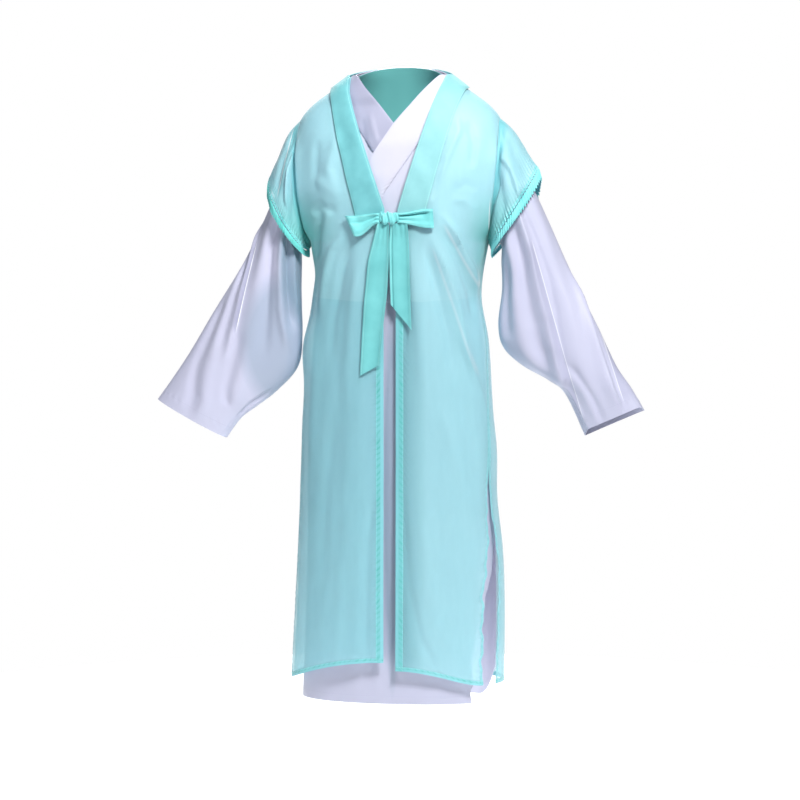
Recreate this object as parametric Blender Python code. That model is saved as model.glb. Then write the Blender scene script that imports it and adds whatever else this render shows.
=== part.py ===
"""Two-layer hanfu: a white cross-collar robe under a sheer mint coat with a ribbon tie.

Metres, +Z up. The fronts face -Y and the wearer's left is +X. The origin is midway between the
two points where the shoulders meet the neck, so the set hangs below it as it is worn.

Every body panel lies on one hollow form, given by horizontal sections. A spot on the form is an
angle round the body and a height: 0 degrees is the wearer's left side, 90 the centre front, 180
the right side and 270 the centre back. Sleeves are tubes lofted from the armholes.
"""
import math
from collections import namedtuple

import bmesh
import bpy
from mathutils import Vector

# ---------------------------------------------------------------- driving sizes
CLOTH = 0.0015            # wall of one layer of cloth
SEAM = 0.0003             # gap between two pieces that are sewn together
BAND_GAP = 0.0008         # gap under a collar band that lies on its panel
SHOULDER_GAP = 0.0019     # and how much more there is over the shoulder
BAND_CELLS = 5            # cells across a collar band
COAT = 0.0                # the coat lies on the form itself
ROBE = -0.011             # the robe lies this far inside it
UNDER = 0.0075            # how far the wrapped-under front is tucked in
MID_Y = 0.008             # depth of the shoulder ridges and side seams

WAIST_Z = -0.430          # the robe's waist seam
TIE_Z = -0.272            # the bow's knot
COAT_BAND_END = -0.276    # the coat's collar band ends at the tie
BACK_BAND_ROWS = 4        # rows of a back panel that its collar band covers
COAT_HEM = -1.150
COAT_CORNER_RISE = {"left": 0.030, "right": 0.045}    # its front corners hang higher
ROBE_CORNER_RISE = 0.055  # and so do the corners of the robe's back
SKIRT_TAPER = 0.009       # how far the robe's skirt draws in from the coat at its hem
ROBE_HEM = -1.185
COAT_SLIT = -0.743
ROBE_SLIT = -0.800
LINING_END = -0.150       # the back-neck facing reaches down to here
GATHERS = 16              # gathers round each cap sleeve's hem
GATHER_DEPTH = 0.0016

COLUMNS = 7               # cells across a front panel
BACK_COLUMNS = 14         # cells across a back panel
NECK_RISE = 0.018         # how far the back of the neck stands above its sides
ARMHOLE_STEPS = 10        # cells down each armhole edge, front and back

Section = namedtuple("Section", "z right left front back squareness")
BODY = [
    Section(0.020, 0.086, 0.086, -0.044, 0.069, 2.0),
    Section(0.000, 0.092, 0.092, -0.052, 0.076, 2.0),
    Section(-0.030, 0.129, 0.129, -0.066, 0.086, 2.1),
    Section(-0.058, 0.167, 0.167, -0.079, 0.094, 2.2),
    Section(-0.085, 0.190, 0.190, -0.089, 0.099, 2.3),
    Section(-0.130, 0.203, 0.203, -0.101, 0.103, 2.4),
    Section(-0.200, 0.202, 0.201, -0.111, 0.106, 2.4),
    Section(-0.260, 0.189, 0.187, -0.114, 0.106, 2.4),
    Section(-0.318, 0.171, 0.168, -0.113, 0.104, 2.4),
    Section(-0.416, 0.168, 0.154, -0.110, 0.100, 2.4),
    Section(-0.505, 0.177, 0.168, -0.109, 0.100, 2.4),
    Section(-0.640, 0.187, 0.177, -0.109, 0.102, 2.4),
    Section(-0.730, 0.191, 0.188, -0.109, 0.104, 2.3),
    Section(-0.844, 0.195, 0.195, -0.110, 0.106, 2.3),
    Section(-1.000, 0.203, 0.200, -0.112, 0.110, 2.2),
    Section(-1.150, 0.211, 0.199, -0.114, 0.114, 2.2),
    Section(-1.220, 0.213, 0.198, -0.114, 0.115, 2.2),
]

# An armhole: its top on the shoulder ridge, its underarm, and half its depth from front to back.
Armhole = namedtuple("Armhole", "top bottom half")
COAT_ARMHOLE = Armhole(-0.085, -0.318, 0.056)
ROBE_ARMHOLE = Armhole(-0.092, -0.298, 0.046)

# A long soft fold, as a line on the front or back, with its half width and its height.
Fold = namedtuple("Fold", "face x_top z_top x_end z_end width height")
FOLDS = [
    Fold("front", 0.078, -0.200, 0.150, -0.560, 0.016, 0.0028),
    Fold("front", 0.115, -0.190, 0.168, -0.420, 0.012, -0.0026),
    Fold("front", 0.052, -0.330, 0.120, -0.900, 0.020, 0.0024),
    Fold("front", 0.085, -0.520, 0.110, -1.140, 0.018, -0.0022),
    Fold("front", -0.120, -0.130, -0.135, -0.420, 0.014, 0.0026),
    Fold("front", -0.085, -0.330, -0.110, -0.800, 0.018, -0.0022),
    Fold("front", -0.055, -0.450, -0.070, -1.130, 0.020, 0.0024),
    Fold("front", -0.120, -0.700, -0.135, -1.140, 0.018, 0.0020),
    Fold("back", 0.120, -0.150, 0.090, -0.500, 0.016, 0.0026),
    Fold("back", -0.110, -0.160, -0.085, -0.520, 0.016, 0.0026),
    Fold("back", 0.040, -0.420, 0.060, -1.140, 0.022, 0.0028),
    Fold("back", -0.035, -0.450, -0.050, -1.140, 0.022, -0.0026),
    Fold("back", 0.110, -0.560, 0.135, -1.140, 0.018, -0.0022),
    Fold("back", -0.110, -0.560, -0.130, -1.140, 0.018, 0.0024),
]

# Edges that run down a front: the distance from the middle at each height, + on the piece's side.
Edge = namedtuple("Edge", "z x")
COAT_EDGE_LEFT = [Edge(0.0, 0.0915), Edge(-0.020, 0.087), Edge(-0.255, 0.0160),
                  Edge(-0.300, 0.0110), Edge(-1.200, 0.0110)]
COAT_EDGE_RIGHT = [Edge(0.0, 0.0915), Edge(-0.035, 0.087), Edge(-0.255, 0.0090),
                   Edge(-0.300, 0.0120), Edge(-1.200, 0.0120)]
COAT_BAND_SEAM = [Edge(0.0, 0.140), Edge(-0.030, 0.129), Edge(-0.060, 0.120), Edge(-0.265, 0.0660)]
ROBE_EDGE_OVER = [Edge(0.0, 0.0820), Edge(-0.096, 0.0020), Edge(-0.160, -0.0400),
                  Edge(-0.250, -0.0850), Edge(-0.330, -0.1050), Edge(-0.450, -0.1120)]
ROBE_EDGE_UNDER = [Edge(0.0, 0.0820), Edge(-0.096, -0.0020), Edge(-0.160, -0.0440),
                   Edge(-0.250, -0.0700), Edge(-0.330, -0.0800), Edge(-0.450, -0.0850)]
ROBE_BAND_SEAM_OVER = [Edge(0.0, 0.140), Edge(-0.036, 0.118), Edge(-0.154, 0.0365),
                       Edge(-0.224, -0.0115), Edge(-0.330, -0.0480), Edge(-0.450, -0.0560)]
ROBE_BAND_SEAM_UNDER = [Edge(0.0, 0.140), Edge(-0.036, 0.118), Edge(-0.154, 0.0330),
                        Edge(-0.224, -0.0120), Edge(-0.330, -0.0240), Edge(-0.450, -0.0290)]

# A ring of a sleeve in the front view: its outer (top) and inner (under) points as distances from
# the middle and heights, its half depth, the depth of its centre, and how far its front hangs.
Ring = namedtuple("Ring", "x_out z_out x_in z_in half_depth y sag")
CAP_RIGHT = [
    Ring(0.2150, -0.1120, 0.1740, -0.3240, 0.066, 0.006, 0.000),
    Ring(0.2360, -0.1580, 0.1770, -0.3290, 0.072, 0.004, 0.008),
    Ring(0.2510, -0.1960, 0.1800, -0.3330, 0.073, 0.002, 0.018),
]
CAP_HEM_RIGHT = [
    Ring(0.2514, -0.1972, 0.1802, -0.3345, 0.0730, 0.002, 0.0190),
    Ring(0.2525, -0.2100, 0.1800, -0.3420, 0.0725, 0.001, 0.0260),
]
CAP_LEFT = [
    Ring(0.2160, -0.1080, 0.1710, -0.3240, 0.066, 0.006, 0.000),
    Ring(0.2420, -0.1480, 0.1740, -0.3290, 0.072, 0.004, 0.010),
    Ring(0.2620, -0.1790, 0.1770, -0.3330, 0.073, 0.002, 0.022),
]
CAP_HEM_LEFT = [
    Ring(0.2624, -0.1802, 0.1772, -0.3345, 0.0730, 0.002, 0.0230),
    Ring(0.2680, -0.1920, 0.1770, -0.3420, 0.0725, 0.001, 0.0310),
]
SLEEVE_RIGHT = [
    Ring(0.2070, -0.1420, 0.1760, -0.3040, 0.053, 0.006, 0.000),
    Ring(0.2270, -0.1900, 0.1860, -0.3180, 0.056, 0.004, 0.000),
    Ring(0.2400, -0.2260, 0.1910, -0.3500, 0.054, 0.002, 0.000),
    Ring(0.2655, -0.2850, 0.1910, -0.4200, 0.050, 0.000, 0.000),
    Ring(0.2945, -0.3450, 0.1890, -0.4950, 0.046, -0.002, 0.000),
    Ring(0.3265, -0.3980, 0.1970, -0.5550, 0.043, -0.005, 0.000),
    Ring(0.3640, -0.4570, 0.2360, -0.6010, 0.040, -0.008, 0.000),
    Ring(0.4090, -0.5320, 0.2770, -0.6320, 0.036, -0.011, 0.000),
    Ring(0.4430, -0.5830, 0.3060, -0.6540, 0.032, -0.013, 0.000),
    Ring(0.4695, -0.6190, 0.3340, -0.6920, 0.028, -0.014, 0.000),
]
SLEEVE_LEFT = [
    Ring(0.2100, -0.1360, 0.1760, -0.3040, 0.053, 0.006, 0.000),
    Ring(0.2340, -0.1760, 0.1860, -0.3180, 0.056, 0.004, 0.000),
    Ring(0.2500, -0.2080, 0.1930, -0.3450, 0.054, 0.002, 0.000),
    Ring(0.2850, -0.2820, 0.1960, -0.4050, 0.050, 0.000, 0.000),
    Ring(0.3180, -0.3560, 0.1890, -0.4700, 0.046, -0.002, 0.000),
    Ring(0.3480, -0.4180, 0.1990, -0.5150, 0.043, -0.005, 0.000),
    Ring(0.3800, -0.4790, 0.2350, -0.5490, 0.040, -0.008, 0.000),
    Ring(0.4130, -0.5480, 0.2860, -0.5760, 0.036, -0.011, 0.000),
    Ring(0.4420, -0.5900, 0.3180, -0.6020, 0.032, -0.013, 0.000),
    Ring(0.4670, -0.6310, 0.3550, -0.6800, 0.028, -0.014, 0.000),
]

# A crease along a sleeve: its angle round the tube (0 on top, 90 at the front) at the start and
# the end, the rings between which it runs, its half width in degrees and its height.
Crease = namedtuple("Crease", "turn_start turn_end ring_start ring_end width height")
SLEEVE_CREASES = [
    Crease(40, 55, 1.5, 9.5, 16, 0.0030),
    Crease(70, 80, 2.5, 8.0, 14, -0.0034),
    Crease(105, 112, 2.5, 9.0, 15, 0.0032),
    Crease(135, 138, 3.5, 8.5, 13, -0.0028),
    Crease(240, 250, 2.5, 9.0, 16, -0.0032),
    Crease(290, 285, 2.0, 9.5, 16, 0.0032),
    Crease(325, 318, 2.5, 8.5, 14, -0.0028),
]

# ---------------------------------------------------------------- small maths

def signed_power(value, exponent):
    """Power of the size of a value, with the value's sign."""
    return math.copysign(abs(value) ** exponent, value)


def ease(value):
    """A smooth step from 0 to 1."""
    value = min(1.0, max(0.0, value))
    return value * value * (3.0 - 2.0 * value)


def along(rows, z, column):
    """A column of a table at height z, on a smooth curve through the table's rows."""
    index = 1
    while index < len(rows) - 2 and rows[index].z > z:
        index += 1
    upper, lower = rows[index - 1], rows[index]
    if rows[index].z > z:
        index += 1
        upper, lower = rows[index - 1], rows[index]

    def slope(here):
        before = rows[max(here - 1, 0)]
        after = rows[min(here + 1, len(rows) - 1)]
        return (getattr(after, column) - getattr(before, column)) / (after.z - before.z)

    span = lower.z - upper.z
    t = min(1.0, max(0.0, (z - upper.z) / span))
    start, end = getattr(upper, column), getattr(lower, column)
    bend_in = slope(index - 1) * span
    bend_out = slope(index) * span
    return ((2 * t ** 3 - 3 * t ** 2 + 1) * start + (t ** 3 - 2 * t ** 2 + t) * bend_in
            + (3 * t ** 2 - 2 * t ** 3) * end + (t ** 3 - t ** 2) * bend_out)


def straight(rows, z):
    """The x of an edge at height z, on straight lines between its rows."""
    for upper, lower in zip(rows, rows[1:]):
        if z >= lower.z:
            t = (z - upper.z) / (lower.z - upper.z)
            return upper.x + t * (lower.x - upper.x)
    return rows[-1].x


# ---------------------------------------------------------------- the body's form

def half_sizes(angle, z, out):
    """Half width, half depth and squareness of the section that an angle sees at height z."""
    side = "left" if math.cos(angle) >= 0.0 else "right"
    half = along(BODY, z, side) + out
    if math.sin(angle) >= 0.0:
        depth = MID_Y - along(BODY, z, "front") + out
    else:
        depth = along(BODY, z, "back") - MID_Y + out
    return half, depth, along(BODY, z, "squareness")


def bare(angle, z, out):
    """A point of the form without folds."""
    half, depth, square = half_sizes(angle, z, out)
    x = half * signed_power(math.cos(angle), 2.0 / square)
    y = MID_Y - depth * signed_power(math.sin(angle), 2.0 / square)
    return Vector((x, y, z))


def outward(angle, z, out):
    """The form's outward direction."""
    turn = math.radians(1.0)
    drop = 0.002
    across = bare(angle + turn, z, out) - bare(angle - turn, z, out)
    down = bare(angle, z - drop, out) - bare(angle, z + drop, out)
    return across.cross(down).normalized()


def fold_height(point):
    """How far the long folds lift a point of the form."""
    face = "front" if point.y < MID_Y else "back"
    depth = min(1.0, abs(point.y - MID_Y) / 0.05)
    height = 0.0
    for fold in FOLDS:
        if fold.face != face:
            continue
        t = (fold.z_top - point.z) / (fold.z_top - fold.z_end)
        if not 0.0 < t < 1.0:
            continue
        centre = fold.x_top + t * (fold.x_end - fold.x_top)
        fade = ease(t * 5.0) * ease((1.0 - t) * 5.0) if fold.z_end > -1.1 else ease(t * 3.0)
        height += fold.height * fade * math.exp(-((point.x - centre) / fold.width) ** 2)
    return height * depth


def cloth_point(angle, z, out, lift):
    """A point of a panel: on the form, folded, and lifted along the form's own direction."""
    base = bare(angle, z, out)
    return base + outward(angle, z, out) * (fold_height(base) + lift)


def front_angle(x, z, out):
    """The angle of the front's point at a distance x from the middle."""
    half, _, square = half_sizes(0.0 if x >= 0.0 else math.pi, z, out)
    return math.acos(signed_power(min(1.0, abs(x) / half) * (1 if x >= 0 else -1), square / 2.0))


def side_angle(reach, z, out, side, face):
    """The angle of the point that lies `reach` in front of or behind the side seam."""
    turn = math.pi / 2.0 if face == "front" else -math.pi / 2.0
    _, depth, square = half_sizes(turn, z, out)
    step = math.asin(min(1.0, reach / depth) ** (square / 2.0))
    if face == "back":
        step = -step
    return step if side == "left" else math.pi - step


def armhole_reach(armhole, z):
    """Half the armhole's depth at height z, nothing above and below it."""
    t = (armhole.top - z) / (armhole.top - armhole.bottom)
    if not 0.0 < t < 1.0:
        return 0.0
    return armhole.half * (2.0 * math.sqrt(t * (1.0 - t))) ** 0.85


def armhole_heights(armhole):
    """The heights of the points down an armhole's edge."""
    span = armhole.top - armhole.bottom
    steps = range(ARMHOLE_STEPS + 1)
    return [armhole.top - span * (1.0 - math.cos(math.pi * step / ARMHOLE_STEPS)) / 2.0
            for step in steps]


def band_lift(z):
    """A collar band lies on its panel, a little higher where it bends over the shoulder."""
    return CLOTH + BAND_GAP + SHOULDER_GAP * ease((z + 0.070) / 0.030)


def slit_reach(z, top, hem, width):
    """How far a slit's edge draws back from the side seam."""
    return width * ease((top - z) / (top - hem) * 1.25)


# ---------------------------------------------------------------- making solids

def new_material(name, colour, roughness):
    material = bpy.data.materials.new(name)
    material.use_nodes = True
    shader = material.node_tree.nodes["Principled BSDF"]
    shader.inputs["Base Color"].default_value = (*colour, 1.0)
    shader.inputs["Roughness"].default_value = roughness
    shader.inputs["Metallic"].default_value = 0.0
    return material


MATERIALS = {
    "mint_sheer": new_material("mint sheer", (0.42, 0.78, 0.84), 0.55),
    "mint_band": new_material("mint band", (0.20, 0.80, 0.74), 0.55),
    "white_robe": new_material("white robe", (0.80, 0.80, 0.90), 0.45),
    "teal_lining": new_material("teal lining", (0.11, 0.40, 0.39), 0.70),
}


def add_wall(name, outside, inside, material, tube=False):
    """Close a grid of outside points and a grid of inside points into one solid wall."""
    mesh = bmesh.new()
    outer = [[mesh.verts.new(point) for point in row] for row in outside]
    inner = [[mesh.verts.new(point) for point in row] for row in inside]
    rows, columns = len(outer), len(outer[0])
    cells = columns if tube else columns - 1
    for row in range(rows - 1):
        for column in range(cells):
            after = (column + 1) % columns
            mesh.faces.new((outer[row][column], outer[row][after],
                            outer[row + 1][after], outer[row + 1][column]))
            mesh.faces.new((inner[row][column], inner[row + 1][column],
                            inner[row + 1][after], inner[row][after]))
    for row in (0, rows - 1):
        for column in range(cells):
            after = (column + 1) % columns
            mesh.faces.new((outer[row][column], inner[row][column],
                            inner[row][after], outer[row][after]))
    if not tube:
        for column in (0, columns - 1):
            for row in range(rows - 1):
                mesh.faces.new((outer[row][column], outer[row + 1][column],
                                inner[row + 1][column], inner[row][column]))
    bmesh.ops.recalc_face_normals(mesh, faces=mesh.faces)
    data = bpy.data.meshes.new(name)
    mesh.to_mesh(data)
    mesh.free()
    data.shade_smooth()
    data.materials.append(MATERIALS[material])
    piece = bpy.data.objects.new(name, data)
    bpy.context.scene.collection.objects.link(piece)
    return piece


def add_panel(name, spots, out, material, lift=None, tuck=None):
    """A panel of cloth from rows of spots (angle, height) on the form.

    lift(z) is how far it lies off the form. tuck(point) is how far it is pushed inwards where it
    passes under another panel.
    """
    outside, inside = [], []
    for row in spots:
        outer_row, inner_row = [], []
        for angle, z in row:
            place = out
            if tuck:
                place = out - tuck(bare(angle, z, out))
            raised = lift(z) if lift else 0.0
            outer_row.append(cloth_point(angle, z, place, raised))
            inner_row.append(cloth_point(angle, z, place, raised - CLOTH))
        outside.append(outer_row)
        inside.append(inner_row)
    return add_wall(name, outside, inside, material)


def spread(start, end, cells):
    """Evenly spaced values from start to end."""
    return [start + (end - start) * step / cells for step in range(cells + 1)]


# ---------------------------------------------------------------- panels of both garments

def front_rows(levels, edge, side, out, armhole, slit=None):
    """Rows of a front panel, from its side edge in to its opening edge."""
    sign = 1.0 if side == "left" else -1.0
    rows = []
    for z in levels:
        reach = max(SEAM / 2.0, armhole_reach(armhole, z))
        if slit:
            reach = max(reach, slit(z, side))
        start = side_angle(reach, z, out, side, "front")
        end = front_angle(sign * straight(edge, z), z, out)
        rows.append([(angle, z) for angle in spread(start, end, COLUMNS)])
    return rows


def back_rows(levels, out, armhole, columns, slit=None):
    """Rows of a back panel, from the wearer's right side round to the left.

    Above the shoulder's slope the rows rise towards the centre back, where the neck stands up.
    """
    rows = []
    for z in levels:
        reach = max(SEAM / 2.0, armhole_reach(armhole, z))
        reaches = {edge: max(reach, slit(z, edge)) if slit else reach for edge in ("left", "right")}
        start = side_angle(reaches["right"], z, out, "right", "back")
        end = 2.0 * math.pi + side_angle(reaches["left"], z, out, "left", "back")
        rise = NECK_RISE * ease((z + 0.030) / 0.030)
        rows.append([(angle, z + rise * abs(math.sin(angle)))
                     for angle in spread(start, end, columns)])
    return rows


def lift_front_corner(rows, rise):
    """Raise the hem's row towards the opening edge."""
    last = rows[-1]
    count = len(last) - 1
    rows[-1] = [(angle, z + rise * ease(step / count)) for step, (angle, z) in enumerate(last)]
    return rows


def lift_back_corners(rows, rise):
    """Raise the two ends of the hem's row."""
    last = rows[-1]
    count = len(last) - 1
    rows[-1] = [(angle, z + rise * ease(abs(2.0 * step / count - 1.0) * 2.5 - 1.5))
                for step, (angle, z) in enumerate(last)]
    return rows


def slit(top, hem, widths):
    """A function that gives how far a slit is open at a height, on the left or the right side."""
    return lambda z, side: slit_reach(z, top, hem, widths[side]) if z < top else 0.0


COAT_FRONT_SLIT = slit(COAT_SLIT, COAT_HEM, {"left": 0.075, "right": 0.008})
COAT_BACK_SLIT = slit(COAT_SLIT, COAT_HEM, {"left": 0.025, "right": 0.008})
ROBE_FRONT_SLIT = slit(ROBE_SLIT, ROBE_HEM, {"left": 0.070, "right": 0.014})
ROBE_BACK_SLIT = slit(ROBE_SLIT, ROBE_HEM, {"left": 0.010, "right": 0.010})


def coat_levels():
    shoulder = [-0.006, -0.014, -0.022, -0.029, -0.036, -0.043, -0.051, -0.060, -0.071]
    skirt = [-0.360, -0.420, -0.500, -0.600, COAT_SLIT, -0.860, -0.980, -1.080]
    return shoulder + armhole_heights(COAT_ARMHOLE) + skirt + [COAT_HEM]


def robe_levels():
    shoulder = [-0.006, -0.013, -0.020, -0.027, -0.034, -0.042, -0.051, -0.062, -0.076]
    return shoulder + armhole_heights(ROBE_ARMHOLE) + [-0.350, WAIST_Z + SEAM / 2.0]


def build_coat_body():
    edges = {"left": COAT_EDGE_LEFT, "right": COAT_EDGE_RIGHT}
    for side, edge in edges.items():
        rows = front_rows(coat_levels(), edge, side, COAT, COAT_ARMHOLE, COAT_FRONT_SLIT)
        lift_front_corner(rows, COAT_CORNER_RISE[side])
        add_panel("coat_front_" + side, rows, COAT, "mint_sheer")
    back = back_rows(coat_levels(), COAT, COAT_ARMHOLE, BACK_COLUMNS, COAT_BACK_SLIT)
    add_panel("coat_back", back, COAT, "mint_sheer")
    add_panel("coat_band_back", back[:BACK_BAND_ROWS], COAT, "mint_band", lift=band_lift)


def band_rows(levels, edge, seam, side, out):
    """Rows of a collar band, from its seam in to the opening edge, and from the ridge above it."""
    sign = 1.0 if side == "left" else -1.0
    rows = []
    for z in levels:
        ridge = side_angle(SEAM / 2.0, z, out, side, "front")
        half, _, _ = half_sizes(0.0 if side == "left" else math.pi, z, out)
        seam_x = straight(seam, z)
        start = front_angle(sign * seam_x, z, out) if abs(seam_x) < half - 0.001 else ridge
        end = front_angle(sign * straight(edge, z), z, out)
        rows.append([(angle, z) for angle in spread(start, end, BAND_CELLS)])
    return rows


def build_coat_bands():
    levels = [z for z in coat_levels() if z > COAT_BAND_END] + [COAT_BAND_END]
    edges = {"left": COAT_EDGE_LEFT, "right": COAT_EDGE_RIGHT}
    for side, edge in edges.items():
        rows = band_rows(levels, edge, COAT_BAND_SEAM, side, COAT)
        add_panel("coat_band_" + side, rows, COAT, "mint_band", lift=band_lift)


def tuck_under(point):
    """The under front passes beneath the over front, but not at its shoulder and side seams."""
    return UNDER * ease((point.x + 0.150) / 0.040) * ease((-0.030 - point.z) / 0.040)


def build_robe_bodice():
    levels = robe_levels()
    over = front_rows(levels, ROBE_EDGE_OVER, "left", ROBE, ROBE_ARMHOLE)
    add_panel("robe_front_left", over, ROBE, "white_robe")
    under = front_rows(levels, ROBE_EDGE_UNDER, "right", ROBE, ROBE_ARMHOLE)
    add_panel("robe_front_right", under, ROBE, "white_robe", tuck=tuck_under)
    back = back_rows(levels, ROBE, ROBE_ARMHOLE, BACK_COLUMNS)
    add_panel("robe_back", back, ROBE, "white_robe")
    add_panel("robe_collar_back", back[:BACK_BAND_ROWS], ROBE, "white_robe", lift=band_lift)


def build_robe_collar():
    levels = robe_levels()
    over = band_rows(levels, ROBE_EDGE_OVER, ROBE_BAND_SEAM_OVER, "left", ROBE)
    add_panel("robe_collar_left", over, ROBE, "white_robe", lift=band_lift)
    under = band_rows(levels, ROBE_EDGE_UNDER, ROBE_BAND_SEAM_UNDER, "right", ROBE)
    add_panel("robe_collar_right", under, ROBE, "white_robe", lift=band_lift, tuck=tuck_under)


def taper_skirt(point):
    """The skirt draws in from the coat towards its hem, a little more on the wearer's right."""
    lean = 1.0 - point.x * 1.7
    return SKIRT_TAPER * lean * ease((-0.550 - point.z) / 0.600)


def build_robe_skirt():
    levels = [WAIST_Z - SEAM / 2.0, -0.500, -0.600, -0.700, ROBE_SLIT, -0.920, -1.060, ROBE_HEM]
    rows = []
    for z in levels:
        start = side_angle(max(SEAM / 2.0, ROBE_FRONT_SLIT(z, "left")), z, ROBE, "left", "front")
        end = side_angle(max(SEAM / 2.0, ROBE_FRONT_SLIT(z, "right")), z, ROBE, "right", "front")
        rows.append([(angle, z) for angle in spread(start, end, BACK_COLUMNS)])
    add_panel("robe_skirt_front", rows, ROBE, "white_robe", tuck=taper_skirt)
    back = back_rows(levels, ROBE, ROBE_ARMHOLE, BACK_COLUMNS, ROBE_BACK_SLIT)
    lift_back_corners(back, ROBE_CORNER_RISE)
    add_panel("robe_skirt_back", back, ROBE, "white_robe", tuck=taper_skirt)


def build_neck_lining():
    """The facing that shows inside the back of the neck, just inside the robe's back."""
    levels = [z for z in robe_levels() if z > LINING_END]
    rows = back_rows(levels, ROBE, ROBE_ARMHOLE, BACK_COLUMNS)
    inside = [row[1:-1] for row in rows]
    add_panel("neck_lining", inside, ROBE, "teal_lining", lift=lambda z: -CLOTH - SEAM)


# ---------------------------------------------------------------- sleeves

def armhole_ring(armhole, out, side):
    """The armhole's edge as the first ring of a sleeve, a seam's gap in from the panels' edge."""
    levels = armhole_heights(armhole)
    spots = [("front", z) for z in levels] + [("back", z) for z in levels[-2:0:-1]]
    edge = []
    for face, z in spots:
        reach = max(SEAM / 2.0, armhole_reach(armhole, z))
        edge.append(cloth_point(side_angle(reach, z, out, side, face), z, out, 0.0))
    middle = Vector((edge[0].x, MID_Y, (armhole.top + armhole.bottom) / 2.0))
    sideways = Vector((1.0 if side == "left" else -1.0, 0.0, 0.0))
    return [point + (middle - point).normalized() * SEAM + sideways * 1.5 * SEAM for point in edge]


def ring_points(ring, side, count):
    """The points round one ring of a sleeve: top, front, under, back."""
    sign = 1.0 if side == "left" else -1.0
    centre = Vector((sign * (ring.x_out + ring.x_in) / 2.0, ring.y, (ring.z_out + ring.z_in) / 2.0))
    arm = Vector((sign * (ring.x_out - ring.x_in) / 2.0, 0.0, (ring.z_out - ring.z_in) / 2.0))
    points = []
    for step in range(count):
        turn = 2.0 * math.pi * step / count
        point = centre + arm * math.cos(turn)
        point.y -= ring.half_depth * math.sin(turn)
        point.z -= ring.sag * abs(math.sin(turn)) * (1.0 + math.cos(turn)) / 2.0
        points.append(point)
    return points


def tube_directions(grid, side):
    """Outward directions of a lofted tube, from its neighbouring points."""
    rows, count = len(grid), len(grid[0])
    result = []
    for row in range(rows):
        line = []
        for column in range(count):
            around = grid[row][(column + 1) % count] - grid[row][column - 1]
            down = grid[min(row + 1, rows - 1)][column] - grid[max(row - 1, 0)][column]
            direction = around.cross(down).normalized()
            line.append(direction if side == "left" else -direction)
        result.append(line)
    return result


def crease_height(row, turn):
    """How far the sleeve's creases lift a point; rows and turns as in the crease table."""
    height = 0.0
    for crease in SLEEVE_CREASES:
        t = (row - crease.ring_start) / (crease.ring_end - crease.ring_start)
        if 0.0 < t < 1.0:
            centre = crease.turn_start + t * (crease.turn_end - crease.turn_start)
            fade = ease(t * 3.0) * ease((1.0 - t) * 3.0)
            height += crease.height * fade * math.exp(-((turn - centre) / crease.width) ** 2)
    return height


def add_sleeve(name, rings, armhole, out, side, material, creased):
    first = armhole_ring(armhole, out, side)
    count = len(first)
    grid = [first] + [ring_points(ring, side, count) for ring in rings]
    directions = tube_directions(grid, side)
    outside, inside = [], []
    for row, points in enumerate(grid):
        outer_row, inner_row = [], []
        for step, point in enumerate(points):
            lift = crease_height(row, 360.0 * step / count) if creased else 0.0
            outer_row.append(point + directions[row][step] * lift)
            inner_row.append(point + directions[row][step] * (lift - CLOTH))
        outside.append(outer_row)
        inside.append(inner_row)
    return add_wall(name, outside, inside, material, tube=True)


def add_cap_hem(name, rings, side):
    """The narrow gathered band round a cap sleeve's hem."""
    count = GATHERS * 4
    grid = [ring_points(ring, side, count) for ring in rings]
    directions = tube_directions(grid, side)
    depths = (0.0, GATHER_DEPTH)
    outside, inside = [], []
    for points, line, depth in zip(grid, directions, depths):
        waves = [depth * math.cos(2.0 * math.pi * GATHERS * step / count) for step in range(count)]
        outside.append([p + d * wave for p, d, wave in zip(points, line, waves)])
        inside.append([p + d * (wave - CLOTH) for p, d, wave in zip(points, line, waves)])
    return add_wall(name, outside, inside, "mint_band", tube=True)


def build_sleeves():
    add_sleeve("coat_cap_right", CAP_RIGHT, COAT_ARMHOLE, COAT, "right", "mint_sheer", False)
    add_sleeve("coat_cap_left", CAP_LEFT, COAT_ARMHOLE, COAT, "left", "mint_sheer", False)
    add_cap_hem("coat_cap_hem_right", CAP_HEM_RIGHT, "right")
    add_cap_hem("coat_cap_hem_left", CAP_HEM_LEFT, "left")
    add_sleeve("robe_sleeve_right", SLEEVE_RIGHT, ROBE_ARMHOLE, ROBE, "right", "white_robe", True)
    add_sleeve("robe_sleeve_left", SLEEVE_LEFT, ROBE_ARMHOLE, ROBE, "left", "white_robe", True)


# ---------------------------------------------------------------- the ribbon tie

KNOT_HALF = Vector((0.0185, 0.0075, 0.0115))
KNOT_CENTRE = Vector((0.0, -0.1236, TIE_Z))

# A loop of the bow: the two corners of its tip.
Loop = namedtuple("Loop", "tip_top_x tip_top_z tip_bottom_x tip_bottom_z")
LOOPS = {"left": Loop(0.082, -0.2550, 0.084, -0.2900), "right": Loop(0.084, -0.2680, 0.066, -0.3060)}
LOOP_FRONT_STAND = 0.0135  # how far a loop's front ribbon stands off the coat
LOOP_BACK_STAND = 0.0050   # and its back ribbon
TAIL_STAND = 0.0055        # how far a tail stands off the coat
TAIL_ROOT_STAND = 0.0035   # and how much more where it leaves the knot
TAIL_RIPPLE = 0.0012       # the shallow ripple across a tail
LOOP_ROOT = 0.0090         # half height of a loop where it meets the knot

# A tail of the bow: its two edges' x at the knot and at the end, and the heights of its two corners.
Tail = namedtuple("Tail", "x_top_a x_top_b x_end_a x_end_b z_end_a z_end_b")
TAILS = {"right": Tail(-0.0230, 0.0030, -0.0540, -0.0170, -0.5660, -0.5450),
         "left": Tail(0.0060, 0.0240, 0.0060, 0.0430, -0.4330, -0.4800)}


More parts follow.
